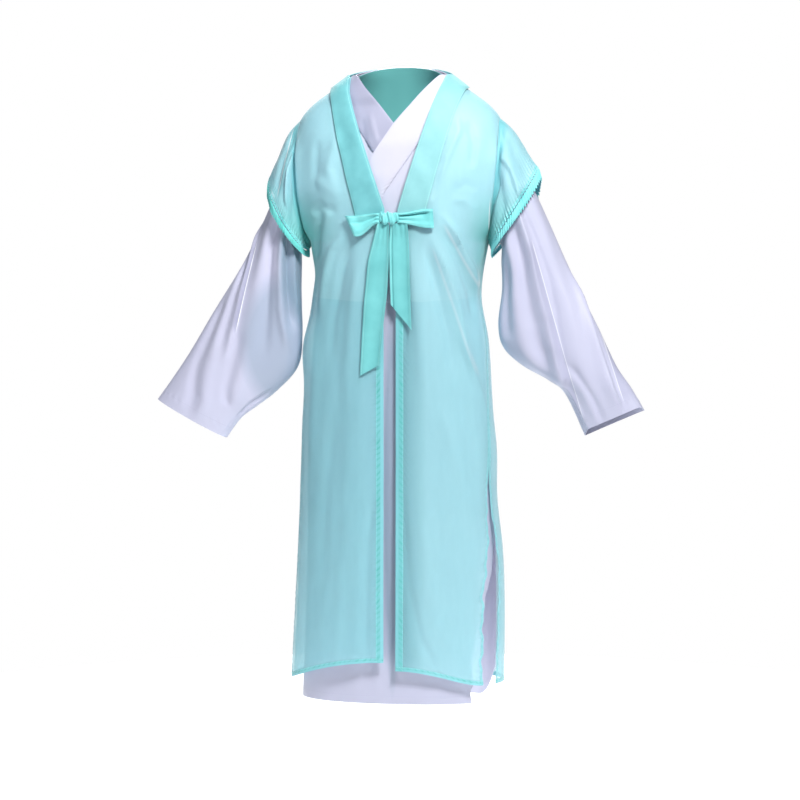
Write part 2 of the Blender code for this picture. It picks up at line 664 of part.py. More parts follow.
def build_knot():
    mesh = bmesh.new()
    bmesh.ops.create_uvsphere(mesh, u_segments=16, v_segments=8, radius=1.0)
    for vertex in mesh.verts:
        x, y, z = vertex.co
        vertex.co = KNOT_CENTRE + Vector((KNOT_HALF.x * signed_power(x, 0.7),
                                          KNOT_HALF.y * signed_power(y, 0.8),
                                          KNOT_HALF.z * signed_power(z, 0.7)))
    data = bpy.data.meshes.new("bow_knot")
    mesh.to_mesh(data)
    mesh.free()
    data.shade_smooth()
    data.materials.append(MATERIALS["mint_band"])
    bpy.context.scene.collection.objects.link(bpy.data.objects.new("bow_knot", data))


def front_surface_y(x, z):
    """Depth of the coat's front at a place, folds left out."""
    return bare(front_angle(x, z, COAT), z, COAT).y


def build_loop(side):
    """A ribbon that leaves the knot, turns at its tip and comes back behind itself."""
    sign = 1.0 if side == "left" else -1.0
    loop = LOOPS[side]
    start = KNOT_HALF.x + SEAM
    steps = 9
    lanes = [(t / steps, -LOOP_FRONT_STAND) for t in range(steps + 1)]
    lanes += [(1.0 - t / steps, -LOOP_BACK_STAND) for t in range(steps + 1)]
    across = 4
    outside, inside = [], []
    for number, (t, stand) in enumerate(lanes):
        turned = number > steps
        outer_row, inner_row = [], []
        for cell in range(across + 1):
            v = cell / across
            tip_x = loop.tip_top_x + v * (loop.tip_bottom_x - loop.tip_top_x)
            tip_z = loop.tip_top_z + v * (loop.tip_bottom_z - loop.tip_top_z)
            root_z = TIE_Z + LOOP_ROOT * (1.0 - 2.0 * v)
            x = start + (tip_x - start) * t
            z = root_z + (tip_z - root_z) * ease(t * 1.15)
            gap = 1.0 - 0.35 * math.sin(math.pi * t) if not turned else 1.0
            y = front_surface_y(sign * x, z) + stand * gap
            pinch = ease((0.12 - t) / 0.12)
            y += (KNOT_CENTRE.y - y) * pinch * 0.5
            push = Vector((0.0, -1.0 if not turned else 1.0, 0.0))
            point = Vector((sign * x, y, z))
            outer_row.append(point)
            inner_row.append(point - push * CLOTH)
        outside.append(outer_row)
        inside.append(inner_row)
    tip = Vector((sign, 0.0, 0.0))
    for row in (steps, steps + 1):
        inside[row] = [inner - tip * CLOTH
                       for inner in inside[row]]
    add_wall("bow_loop_" + side, outside, inside, "mint_band")


def build_tail(side):
    """A ribbon end that hangs in front of the coat and is cut off slanting."""
    tail = TAILS[side]
    top = KNOT_CENTRE.z - KNOT_HALF.z - SEAM
    rows, across = 11, 4
    outside, inside = [], []
    for row in range(rows + 1):
        t = row / rows
        outer_row, inner_row = [], []
        for cell in range(across + 1):
            v = cell / across
            x_top = tail.x_top_a + v * (tail.x_top_b - tail.x_top_a)
            x_end = tail.x_end_a + v * (tail.x_end_b - tail.x_end_a)
            z_end = tail.z_end_a + v * (tail.z_end_b - tail.z_end_a)
            z = top + (z_end - top) * t
            x = x_top + (x_end - x_top) * t
            ripple = TAIL_RIPPLE * math.sin(2.0 * math.pi * v) * (1.0 - 0.6 * t)
            stand = TAIL_STAND + TAIL_ROOT_STAND * (1.0 - ease(t * 6.0)) + ripple
            point = Vector((x, front_surface_y(x, z) - stand, z))
            outer_row.append(point)
            inner_row.append(point + Vector((0.0, CLOTH, 0.0)))
        outside.append(outer_row)
        inside.append(inner_row)
    add_wall("bow_tail_" + side, outside, inside, "mint_band")


def main():
    for piece in list(bpy.data.objects):
        bpy.data.objects.remove(piece)
    build_coat_body()
    build_coat_bands()
    build_robe_bodice()
    build_robe_collar()
    build_robe_skirt()
    build_neck_lining()
    build_sleeves()
    build_knot()
    for side in ("left", "right"):
        build_loop(side)
        build_tail(side)


main()
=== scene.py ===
# %% [markdown]
# # A two-layer hanfu in cloth
#
# The real set is two garments worn together. Next to the body is a white satin robe whose left
# front crosses over the right, with wide hanging sleeves and a long skirt. Over it goes an open
# coat of sheer mint voile with short cap sleeves, edged with a dense mint band and closed by one
# ribbon tied in a bow. The frame gives us plain solids in the right places. Here every one of
# them is dressed with a thin sheet of cloth that has the creases, hems and stitches of the real
# thing.

# %% Load the frame
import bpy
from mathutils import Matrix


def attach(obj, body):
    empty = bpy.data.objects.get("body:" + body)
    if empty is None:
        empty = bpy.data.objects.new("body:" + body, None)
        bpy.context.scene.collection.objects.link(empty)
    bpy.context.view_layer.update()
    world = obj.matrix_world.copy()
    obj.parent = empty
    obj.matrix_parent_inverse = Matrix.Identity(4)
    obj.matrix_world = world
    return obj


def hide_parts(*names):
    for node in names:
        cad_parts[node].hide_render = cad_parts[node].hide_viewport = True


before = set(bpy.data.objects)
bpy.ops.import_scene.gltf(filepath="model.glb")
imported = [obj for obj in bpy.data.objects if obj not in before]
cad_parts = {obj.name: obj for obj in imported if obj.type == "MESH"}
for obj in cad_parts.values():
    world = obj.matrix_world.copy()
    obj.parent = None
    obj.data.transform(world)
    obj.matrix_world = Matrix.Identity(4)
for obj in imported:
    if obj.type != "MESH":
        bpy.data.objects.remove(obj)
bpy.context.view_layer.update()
print(f"{len(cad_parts)} solids to dress")

# %% The tools of the lesson
import math
from collections import namedtuple

import bpy
import numpy as np
from mathutils import Vector

scene = bpy.context.scene
WHOLE_TURN = 2.0 * math.pi
MM = 0.001
SIGN = {"left": 1.0, "right": -1.0}    # which way x runs on each of the wearer's sides


def aim(thing, place, target):
    """Place a camera or lamp and turn it to a target."""
    thing.location = place
    thing.rotation_euler = (target - Vector(place)).to_track_quat("-Z", "Y").to_euler()


# %% [markdown]
# ## Camera
#
# A long lens some six metres away keeps the upright lines of the coat nearly parallel, as a shop
# picture of a garment does. It looks a little from the wearer's left and a little from above. An
# empty target with a constraint would aim it too, but working out the direction once is shorter.

# %% Place the camera
MIDDLE_OF_VIEW = Vector((0.0, 0.0, -0.6175))
DISTANCE = 6.0
TURN, TILT = math.radians(10.0), math.radians(3.5)
VIEW_WIDTH = 1.52          # metres that the picture spans at the garment

camera_data = bpy.data.cameras.new("camera")
camera_data.lens = camera_data.sensor_width * DISTANCE / VIEW_WIDTH
camera = bpy.data.objects.new("camera", camera_data)
scene.collection.objects.link(camera)
towards = Vector((math.sin(TURN) * math.cos(TILT), -math.cos(TURN) * math.cos(TILT), math.sin(TILT)))
aim(camera, MIDDLE_OF_VIEW + DISTANCE * towards, MIDDLE_OF_VIEW)
scene.camera = camera
print(f"lens {camera_data.lens:.0f} mm")

# %% [markdown]
# ## Light
#
# White satin and pale voile are easily burnt out, so the room itself gives only a medium light
# from all round. A large soft lamp on the camera's right, a little above the shoulders, does the
# modelling: it rakes across the folds and lets the wearer's right side fall into a cool shade. The
# room looks white where it is seen directly and medium where it lights the cloth, which is what a
# lit paper backdrop far behind the garment would do. The Standard view shows the cloth's own
# colours without a film curve, which would grey the whites.

# %% Light the room
ROOM_LIGHT = (0.18, 0.195, 0.215, 1.0)
WHITE = (1.0, 1.0, 1.0, 1.0)
scene.view_settings.view_transform = "Standard"
room = bpy.data.worlds.new("white room")
room.use_nodes = True
nodes, links = room.node_tree.nodes, room.node_tree.links
ray = nodes.new("ShaderNodeLightPath")
seen_white = nodes.new("ShaderNodeMix")
seen_white.data_type = "RGBA"
seen_white.inputs["A"].default_value = ROOM_LIGHT
seen_white.inputs["B"].default_value = WHITE
links.new(ray.outputs["Is Camera Ray"], seen_white.inputs["Factor"])
links.new(seen_white.outputs["Result"], nodes["Background"].inputs["Color"])
scene.world = room

CHEST = Vector((0.0, 0.0, -0.25))
Lamp = namedtuple("Lamp", "name place size power colour")
LAMPS = [
    Lamp("key lamp", (1.25, -1.95, 1.85), 0.8, 134.0, (1.0, 0.985, 0.96)),
    Lamp("fill lamp", (-0.75, -1.35, 0.85), 0.6, 5.0, (0.97, 0.98, 1.0)),
    Lamp("back lamp", (-0.6, 2.7, 1.8), 0.8, 112.0, (1.0, 0.99, 0.97)),
]
for lamp in LAMPS:
    light = bpy.data.lights.new(lamp.name, "AREA")
    light.shape = "DISK"
    light.size = lamp.size
    light.energy = lamp.power
    light.color = lamp.colour
    holder = bpy.data.objects.new(lamp.name, light)
    aim(holder, lamp.place, CHEST)
    scene.collection.objects.link(holder)
print(f"{len(LAMPS)} lamps")

# %% [markdown]
# ## Shader sums
#
# A cloth's look is mostly arithmetic: how far a point is from a hem, whether it falls on a stitch.
# Wrapping a node's socket in a small class lets us write that arithmetic as Python sums, which
# read better than a screen full of links.

# %% Wrap a socket
def operator(operation, swapped=False):
    """A method that adds a Math node for one of Python's operators."""
    def method(self, other):
        return self.math(operation, *((other, self) if swapped else (self, other)))
    return method


class Wire:
    """A shader socket that Python's operators can work on."""

    def __init__(self, tree, socket=None):
        self.tree = tree
        self.socket = socket

    def node(self, kind, settings=None, inputs=None, output=0):
        """Add any node: settings are set first, then the values or wires of its sockets."""
        made = self.tree.nodes.new(kind)
        for name, value in (settings or {}).items():
            setattr(made, name, value)
        for name, value in (inputs or {}).items():
            if isinstance(value, Wire):
                self.tree.links.new(value.socket, made.inputs[name])
            else:
                made.inputs[name].default_value = value
        return Wire(self.tree, made.outputs[output])

    def math(self, operation, *values, clamp=False):
        settings = {"operation": operation, "use_clamp": clamp}
        return self.node("ShaderNodeMath", settings, dict(enumerate(values)))

    def __abs__(self):
        return self.math("ABSOLUTE", self)

    __add__ = __radd__ = operator("ADD")
    __mul__ = __rmul__ = operator("MULTIPLY")
    __sub__, __rsub__ = operator("SUBTRACT"), operator("SUBTRACT", swapped=True)
    __truediv__, __rtruediv__ = operator("DIVIDE"), operator("DIVIDE", swapped=True)


def sine(wire):
    return wire.math("SINE", wire)


def fraction(wire):
    return wire.math("FRACT", wire)


def most(first, second):
    return first.math("MAXIMUM", first, second)


def within(distance, width, soft):
    """1 where a distance is less than a width, with a soft edge."""
    return distance.math("MULTIPLY", width - distance, 1.0 / soft, clamp=True)


def blend(share, first, second):
    """Mix two colours."""
    return share.node("ShaderNodeMix", {"data_type": "RGBA"}, {0: share, 6: first, 7: second}, 2)


def over(colour, *layers):
    """Lay tints over a colour, one after the other: each layer is a share and a tint."""
    for share, tint in layers:
        colour = blend(share, colour, tint)
    return colour


def paint(red, green, blue):
    """A colour given as it looks on screen, 0 to 255, turned into the shader's linear light."""
    return (*[((value / 255.0 + 0.055) / 1.055) ** 2.4 for value in (red, green, blue)], 1.0)


print("shader sums ready")

# %% [markdown]
# ## The finishes
#
# Each sheet will carry two maps in metres: "cut" runs from the sheet's first edge and its top,
# "rest" from its other edge and its bottom. A shader that reads them knows how far every point is
# from the four edges, so a turned hem, a seam allowance and a row of stitches are all a
# comparison. The threads are drawn the same way, so the grain follows the cut. An image of cloth
# would be quicker, but it would stretch on the sleeves and blur close up.

# %% Read a sheet's own measures
Measures = namedtuple("Measures", "across down back up")
BUMP_DEPTH = 0.0003        # metres from a bump's lowest to its highest point
FOLD_SOFT = 0.0008         # softness of a turned hem's inner edge
STITCH = 0.0032            # a stitch and the gap after it
STITCH_INSET = 0.0015      # a hem's stitches lie this far inside its width
PUCKER_PITCH = 0.0120


def new_cloth(name, sheen):
    """A material with its shader, and a wire to start sums from."""
    material = bpy.data.materials.new(name)
    material.use_nodes = True
    shader = material.node_tree.nodes["Principled BSDF"]
    shader.inputs["Sheen Weight"].default_value = sheen
    shader.inputs["Sheen Roughness"].default_value = 0.4
    return material, shader, Wire(material.node_tree)


def plug(wire, socket):
    """Lead a wire into a socket of the shader."""
    wire.tree.links.new(wire.socket, socket)


def finish_cloth(shader, colour, roughness, height, strength):
    """Lead the sums that every cloth has into its shader."""
    bump = height.node("ShaderNodeBump", None,
                       {"Height": height, "Strength": strength, "Distance": BUMP_DEPTH})
    plug(colour, shader.inputs["Base Color"])
    plug(roughness, shader.inputs["Roughness"])
    plug(bump, shader.inputs["Normal"])


def on_body(start):
    """A point's place in the object's space."""
    return start.node("ShaderNodeTexCoord", output=3)


def part(vector, axis):
    """One of a vector's three numbers."""
    return vector.node("ShaderNodeSeparateXYZ", None, {0: vector}, axis)


def measures(start):
    """Distances in metres from a sheet's first edge, top, last edge and bottom."""
    maps = [start.node("ShaderNodeUVMap", {"uv_map": name}) for name in ("cut", "rest")]
    return Measures(*[part(vector, axis) for vector in maps for axis in (0, 1)])


def edges(spot, z, first, last, bottom):
    """The edges that have a width: the distance from each, the way along it and the width."""
    rows = [(spot.across, z, first), (spot.back, z, last), (spot.up, spot.across, bottom)]
    return [row for row in rows if row[2]]


def weave(spot, pitch):
    """Height of a plain weave: threads that go over and under each other, `pitch` apart."""
    rate = math.pi / pitch
    return abs(sine(spot.across * rate) * sine(spot.down * rate))


def clouds(start, scale, detail=2.0, stretch=(1.0, 1.0, 1.0)):
    """Soft patches, 0 to 1."""
    place = start.node("ShaderNodeMapping", None, {"Vector": on_body(start), "Scale": stretch})
    return start.node("ShaderNodeTexNoise", None,
                      {"Vector": place, "Scale": scale, "Detail": detail})


def stitch_row(distance, along, at):
    """A row of stitches `at` metres from an edge."""
    line = within(abs(distance - at), 0.0005, 0.0003)
    return line * within(abs(fraction(along / STITCH) - 0.5), 0.34, 0.06)


def pucker_row(distance, along, width, uneven):
    """Puckers that slant across a turned edge like the turns of a cord."""
    turns = (along + distance * 0.9 + uneven * 0.022) / PUCKER_PITCH
    ridges = within(abs(fraction(turns) - 0.5), 0.30, 0.24)
    beside = within(abs(distance - width * 0.68), width * 0.36, width * 0.18)
    return (0.40 + ridges * 0.60) * (0.30 + uneven * 1.3) * beside


# %% Painted shade spots, and painted highlights and shade along pleats, on the front
# the painted highlight along a pleat's edge
PLEAT_LIT = paint(250, 252, 255)
Shade = namedtuple("Shade", "place size strength")
Pleat = namedtuple("Pleat", "start end reach shine width")    # ends are x and z on the body


def on_front(start):
    """Wires to x and z on the body, and 1 on its front half."""
    place = on_body(start)
    return part(place, 0), part(place, 2), within(part(place, 1), 0.0, 0.006)


def shaded(start, colour, shades, dark):
    """Soft spots of painted shade."""
    for shade in shades:
        x, z, in_front = on_front(start)
        across, up = (x - shade.place[0]) / shade.size[0], (z - shade.place[1]) / shade.size[1]
        spread = within(across * across + up * up, 1.25, 0.6)
        colour = blend(spread * in_front * shade.strength, colour, dark)
    return colour


def pressed(start, colour, pleats, dark):
    """Painted pleats: a painted highlight along each line, and painted shade on the side of larger x, or
    on the other where the reach is negative.
    """
    for pleat in pleats:
        x, z, in_front = on_front(start)
        (x_start, z_start), (x_end, z_end) = pleat.start, pleat.end
        length = math.hypot(x_end - x_start, z_end - z_start)
        along_x, along_z = (x_end - x_start) / length, (z_end - z_start) / length
        down = (x - x_start) * along_x + (z - z_start) * along_z
        aside = (z - z_start) * along_x - (x - x_start) * along_z
        shown = within(abs(down - length / 2.0), length / 2.0, 0.02) * in_front
        share = aside / pleat.reach
        under = within(abs(share - 0.5), 0.5, 0.04) * (1.0 - share) * pleat.shine
        edge = within(abs(aside), pleat.width, pleat.width * 0.7)
        colour = over(colour, (under * shown * 0.7, dark), (edge * shown * pleat.shine, PLEAT_LIT))
    return colour


print("helpers for cloth ready")

# %% [markdown]
# ## Sheer mint voile
#
# The coat is one layer of fine voile, so the white robe glows through it and softens its colour.
# Wherever the cloth is turned under, at the hems, the front edges and the seams, two or three
# layers lie on each other and the colour is deeper and less clear. The shader's Alpha carries
# that: each sheet has two faces, so each face lets about half of the light past. Real
# transmission would also work, but it needs many bounces and gains nothing on such thin cloth.
# Its colour also carries painted light towards the shoulders, and painted shade under the arms, low
# on the caps and beside the wearer's left placket. The wearer's right front is a darker copy, as painted
# shade.

# %% Make the voile
VOILE = paint(169, 228, 238)
VOILE_TURNED = paint(126, 208, 217)
VOILE_THREAD = paint(196, 244, 250)
VOILE_PATCH = paint(160, 224, 235)
# painted light on the shoulders and chest
VOILE_LIT = paint(184, 242, 254)       # on the shoulders
# painted shade beside a front's placket
VOILE_PLACKET_SHADE = paint(92, 170, 180)
VOILE_WAIST = paint(206, 250, 252)     # the robe's waist seam, seen through the coat
# painted highlight along the edge that rolls out beside the armhole's seam
VOILE_ROLL_HIGHLIGHT = paint(214, 250, 252)    # beside the armhole's seam
# painted shade under the arm
VOILE_ARMPIT_SHADE = paint(64, 186, 176)
VOILE_PUCKER = paint(88, 190, 186)
# painted shade beside a pleat
VOILE_PLEAT_SHADE = paint(84, 172, 178)
# the caps' painted shade: low on the cap, beside the armhole seam where the seam allowance also shows
# through, and deepest where the two meet
CAP_LOW_SHADE, CAP_SEAM_AND_SHADE, CAP_SEAM_SHADE_LOW = paint(90, 204, 192), paint(112, 196, 206), paint(50, 146, 140)


def make_voile(name, bottom, first=0.0, last=0.0, armhole=0.0, base=VOILE, armpit_shade_reach=0.065,
               painted_light=0.45, shade=0.0, pleats=(), is_cap=False):
    """Sheer cloth with turned edges of the given widths, and an armhole that far down its sides."""
    material, shader, start = new_cloth(name, 0.28)
    shader.inputs["Specular IOR Level"].default_value = 0.6
    spot, z, uneven = measures(start), part(on_body(start), 2), clouds(start, 26.0)
    turned = stitches = gathered = None
    for distance, along, width in edges(spot, z, first, last, bottom):
        band = within(distance, width, FOLD_SOFT)
        row = stitch_row(distance, along, width - STITCH_INSET)
        puckered = pucker_row(distance, along, width, uneven)
        if armhole and along is z and width < 0.010:     # a side edge, turned below the armhole
            below = (1.0 - within(spot.down, armhole, 0.03)) * 0.7
            band, row, puckered = band * below, row * below, puckered * below
        turned = most(turned, band) if turned else band
        stitches = most(stitches, row) if stitches else row
        gathered = most(gathered, puckered) if gathered else puckered
    slubs, patches = clouds(start, 18.0, 3.0, (5.0, 5.0, 1.2)), clouds(start, 3.0)
    threads = weave(spot, 0.0009)
    # painted light: the coat grows lighter from the waist up to the shoulders, a fifth as much on the
    # caps
    shoulders = (1.0 - within(z + 0.420, 0.220, 0.220)) * (0.2 if is_cap else 1.0)
    colour = over(base, (patches * 0.45, VOILE_PATCH), (threads * 0.16 + slubs * 0.07, VOILE_THREAD),
                  (shoulders * painted_light, VOILE_LIT))
    cover = 0.45 + slubs * 0.04 + threads * 0.06 + shoulders * 0.06
    if first:
        waist = z + 0.427 - abs(spot.across - 0.05) * 0.06
        # painted shade beside the placket, then the robe's waist seen through the coat: a light line at
        # its seam and lighter voile above it
        colour = over(colour, (within(spot.across, 0.058, 0.040) * shade, VOILE_PLACKET_SHADE),
                      (within(waist * -1.0, 0.0, 0.001) * 0.22, VOILE_THREAD),
                      (within(abs(waist), 0.0006, 0.0008) * 0.45, VOILE_WAIST))
    if armhole:
        # painted highlight: a thin light line along the armhole's edge, above the armhole's bottom
        roll_highlight = within(spot.back, 0.0022, 0.002) * within(spot.down, armhole, 0.03)
        # painted shade under the arm, along the side edge from the armpit to the waist, where the voile
        # is also made less clear
        deep = within(spot.back, armpit_shade_reach, armpit_shade_reach) * within(abs(z + 0.325), 0.105, 0.080)
        colour = over(colour, (roll_highlight * 0.5, VOILE_ROLL_HIGHLIGHT), (deep * 0.78, VOILE_ARMPIT_SHADE))
        cover = cover + deep * 0.30
    if is_cap:
        # painted shade beside the armhole seam, which also stands for the seam allowance showing
        # through, and painted shade low on the cap
        seam, low = within(spot.down, 0.026, 0.014), within(z + 0.36, 0.150, 0.090)
        colour = over(colour, (low * 0.55, CAP_LOW_SHADE), (seam * 0.80, CAP_SEAM_AND_SHADE),
                      (seam * low * 0.85, CAP_SEAM_SHADE_LOW))
        cover = cover + low * 0.15 + seam * 0.34
    colour = over(colour, (turned * 0.62, VOILE_TURNED), (gathered * 0.80, VOILE_PUCKER),
                  (stitches * 0.5, VOILE_THREAD))
    # painted highlights and painted shade along the pleats
    colour = pressed(start, colour, pleats, VOILE_PLEAT_SHADE)
    plug(cover + turned * 0.36, shader.inputs["Alpha"])
    height = threads * 0.5 + turned * 0.6 + gathered * 1.2 - stitches * 0.8
    finish_cloth(shader, colour, patches * 0.12 + 0.44, height, 0.35)
    return material


PANEL = {"bottom": 0.0090, "last": 0.0060, "armhole": 0.38}
voile_front = {
    # the wearer's left front: painted shade beside its placket, and painted highlights and shade along
    # three pleats
    "left": make_voile("mint voile, left front", first=0.0150, shade=0.62, **PANEL,
                       pleats=[Pleat((0.1816, -0.232), (0.172, -0.336), 0.012, 0.8, 0.0011),
                               Pleat((0.100, -0.282), (0.166, -0.420), -0.022, 0.30, 0.0042),
                               Pleat((0.079, -0.325), (0.160, -0.570), -0.020, 0.22, 0.0040)]),
    # the wearer's right front is a darker copy of the voile, as painted shade on that side, with
    # stronger painted light on its chest and painted shade reaching further in under its arm
    "right": make_voile("mint voile, right front", first=0.0150, base=paint(148, 217, 229),
                        armpit_shade_reach=0.120, painted_light=0.85, **PANEL)}
voile_back = make_voile("mint voile, back", first=0.0060, **PANEL)
# one pleat with a painted highlight and painted shade, on the wearer's right cap
voile_cap = make_voile("mint voile, cap", bottom=0.0065, is_cap=True,
                       pleats=[Pleat((-0.2012, -0.100), (-0.2244, -0.236), 0.009, 0.9, 0.0011)])
print("four voiles")

# %% [markdown]
# ## Dense mint band
#
# The front bands, the tie and the cap hems are the same mint in a doubled, closely woven cloth. It
# is opaque, a little glossy along its creases, and stitched near both edges.
# On the wearer's right side, the band and the cap hem, and on the ribbon's hanging ends, the mint is a
# darker copy, as painted shade.

# %% Make the band cloth
# a band's stitches, and the painted shadow along its seam
BAND_STITCH, BAND_SHADOW = paint(196, 252, 246), paint(40, 112, 116)


def make_band(name, dark, light, stitched=0.0, seam=0.0):
    """Mottled cloth, stitched that far from both edges, with a painted shadow of the given width along
    its seam.
    """
    material, shader, start = new_cloth(name, 0.3)
    spot, patches = measures(start), clouds(start, 32.0, 3.0)
    ribs, threads = clouds(start, 60.0, 2.0, (1.0, 1.0, 0.25)), weave(spot, 0.0008)
    light = paint(*light)
    colour = over(paint(*dark), ((patches - 0.30) * 1.4, light), (ribs * 0.18 + threads * 0.10, light))
    height = threads * 0.5 + ribs * 0.5
    if stitched:
        rows = most(*[stitch_row(edge, spot.down, stitched) for edge in (spot.across, spot.back)])
        colour = blend(rows * 0.7, colour, BAND_STITCH)
        height = height - rows
    if seam:
        # painted shadow along the band's seam
        colour = blend(within(spot.across, seam, 0.0006) * 0.9, colour, BAND_SHADOW)
    finish_cloth(shader, colour, patches * 0.15 + 0.52, height, 0.4)
    return material


band_cloth = {
    "left": make_band("mint band", (132, 195, 200), (152, 214, 220), 0.0022),
    # the wearer's right band is a darker copy of the band, as painted shade on that side, with a painted
    # shadow along its seam
    "right": make_band("mint band, wearer's right", (106, 184, 192), (134, 214, 220), 0.0022, 0.0012)}
gathered_cloth = {
    "left": make_band("gathered mint hem, left", (122, 216, 218), (146, 230, 232)),
    # the wearer's right cap hem is a darker copy, as painted shade on that side
    "right": make_band("gathered mint hem, right", (96, 206, 202), (125, 222, 218))}
# the ribbon's hanging ends are a darker copy of the bow's ribbon, as painted shade
tie_cloth = make_band("mint ribbon", (102, 188, 191), (126, 211, 213), 0.0030)
bow_cloth = make_band("mint ribbon, bow", (112, 206, 208), (136, 228, 230), 0.0030)
print("six band cloths")

# %% [markdown]
# ## White satin and teal facing
#
# The robe is a soft satin: long threads that float on the face give it a broad, silky shine with
# faint vertical streaks, and a cool lilac tone in its shade. The front of the skirt, the under
# collar and the sleeves are darker copies of it, as painted shade, and the back of the skirt is a
# lighter one that emits a little light, as painted light. The facing inside the neck is a plain
# matt cotton, coloured a darker teal as painted shade inside the neck.

# %% Make the satin and the facing
# the second colour is the painted shade of the shade spots
SATIN_FLOAT, SATIN_SHADE = paint(184, 185, 214), paint(124, 152, 172)
# the first colour is the painted shade beside a pleat
SATIN_PLEAT_SHADE, SATIN_STITCH = paint(132, 134, 166), paint(166, 166, 196)


def make_satin(name, dark, light, first=0.0, last=0.0, bottom=0.0, shades=(), pleats=(), glow=0.0):
    """Silky cloth with stitched hems, and painted light given as an even emission of its lighter tone.
    """
    material, shader, start = new_cloth(name, 0.2)
    # painted light: the cloth emits its lighter tone at the given strength
    shader.inputs["Emission Color"].default_value = paint(*light)
    shader.inputs["Emission Strength"].default_value = glow
    spot, z, patches = measures(start), part(on_body(start), 2), clouds(start, 5.0)
    floats = clouds(start, 90.0, 2.0, (1.0, 1.0, 0.05))
    colour = over(paint(*dark), (patches * 0.5, paint(*light)), (floats * 0.12, SATIN_FLOAT))
    # painted shade spots
    colour = shaded(start, colour, shades, SATIN_SHADE)
    # painted highlights and painted shade along pleats
    colour = pressed(start, colour, pleats, SATIN_PLEAT_SHADE)
    height = floats * 0.5 + weave(spot, 0.0007) * 0.25
    for distance, along, width in edges(spot, z, first, last, bottom):
        row = stitch_row(distance, along, width - STITCH_INSET)
        colour = blend(row * 0.5, colour, SATIN_STITCH)
        height = height + within(distance, width, FOLD_SOFT) * 0.5 - row
    finish_cloth(shader, colour, patches * 0.12 + 0.34, height, 0.3)
    return material


SKIRT = {"first": 0.0090, "last": 0.0090, "bottom": 0.0160}
COLLAR = {"first": 0.0030, "last": 0.0030}
CUFF = 0.0230
satin = make_satin("white satin", (206, 207, 226), (212, 214, 232), last=0.0080)
# the skirt's front is a darker copy of the satin, as painted shade under the coat, with a spot of
# painted shade in the gap between the coat's fronts
satin_skirt = make_satin("white satin, skirt", (182, 184, 206), (188, 191, 212), **SKIRT,
                         shades=[Shade((0.002, -0.80), (0.016, 0.34), 0.6)])
# the back of the skirt is lighter than its front and emits a little light: painted light, seen through
# the slits
satin_behind = make_satin("white satin, back of the skirt", (206, 208, 229), (212, 214, 235),
                          glow=0.11, **SKIRT)
# each sleeve has its own darker copy of the satin, the wearer's left one darkest, as painted shade; both
# carry painted highlights and shade along pleats, and the wearer's right one spots of painted shade on
# its inner side
satin_sleeve = {
    "left": make_satin("white satin, left sleeve", (187, 189, 212), (193, 195, 217), bottom=CUFF,
                       pleats=[Pleat((0.257, -0.310), (0.356, -0.655), -0.024, 0.45, 0.0011),
                               Pleat((0.356, -0.409), (0.433, -0.620), 0.030, 0.40, 0.0011)]),
    "right": make_satin("white satin, right sleeve", (200, 201, 224), (206, 208, 230), bottom=CUFF,
                        shades=[Shade((-0.178, -0.345), (0.045, 0.130), 0.75),
                                Shade((-0.212, -0.510), (0.085, 0.130), 0.48)],
                        pleats=[Pleat((-0.271, -0.312), (-0.309, -0.492), -0.013, 1.0, 0.0011)])}
satin_collar = {
    "left": make_satin("white satin, collar", (209, 208, 225), (215, 215, 231), **COLLAR),
    # the under collar is a darker copy of the collar's satin, as painted shade under the over collar
    "right": make_satin("white satin, under collar", (164, 166, 190), (172, 174, 198), **COLLAR)}
# the facing is coloured a darker teal, as painted shade inside the neck
facing = make_band("teal facing", (107, 188, 186), (111, 192, 190))
print("eight quiet cloths")

# %% [markdown]
# ## The form under the cloth
#
# Both garments hang on one hollow form, a stack of rounded sections. A spot on it is an angle round
# the body, 0 at the wearer's left side and 90 degrees at the centre front, and a height. Working
# with whole arrays of spots at once keeps the fine sheets quick to make. Sculpting would be freer,
# but a formula puts the same edge on two neighbouring sheets, so their seams always meet. The
# measures of the lesson stand in short tables of text, in millimetres.

# %% Sections of the body
def table(text, sizes=MM):
    """The numbers of a table, with each column times its size."""
    return np.array([line.split() for line in text.strip().splitlines()], float) * sizes


# height, half widths to the right and left, depths in front and behind, squareness
SECTIONS = table("""
       20  86  86  -44  69 2.0
        0  92  92  -52  76 2.0
      -30 129 129  -66  86 2.1
      -58 167 167  -79  94 2.2
      -85 190 190  -89  99 2.3
     -130 203 203 -101 103 2.4
     -200 202 201 -111 106 2.4
     -260 189 187 -114 106 2.4
     -318 171 168 -113 104 2.4
     -416 168 154 -110 100 2.4
     -505 177 168 -109 100 2.4
     -640 187 177 -109 102 2.4
     -730 191 188 -109 104 2.3
     -844 195 195 -110 106 2.3
    -1000 203 200 -112 110 2.2
    -1150 211 199 -114 114 2.2
    -1220 213 198 -114 115 2.2
""", (MM, MM, MM, MM, MM, 1.0))
RIGHT, LEFT, FRONT, BACK, SQUARE = 1, 2, 3, 4, 5
MID_Y = 0.008              # depth of the shoulder ridges and side seams
WALL = 0.0008              # thickness of a sheet
BAND_WALL = 0.0012
SOLID_WALL = 0.0015        # and of the solids' walls, which the bands must clear
SEAM = 0.0003
HALF_SEAM = SEAM / 2.0
COAT, ROBE = 0.0, -0.011   # how far each garment lies off the form
WAIST, TIE = -0.430, -0.272
COAT_TOP, COAT_HEM, COAT_SLIT = -0.006, -1.150, -0.743
ROBE_HEM, ROBE_SLIT = -1.185, -0.800


def curve(t, start, pull, end, push):
    """A smooth curve from start to end, which leaves along pull and arrives along push."""
    return ((2 * t ** 3 - 3 * t ** 2 + 1) * start + (t ** 3 - 2 * t ** 2 + t) * pull
            + (3 * t ** 2 - 2 * t ** 3) * end + (t ** 3 - t ** 2) * push)


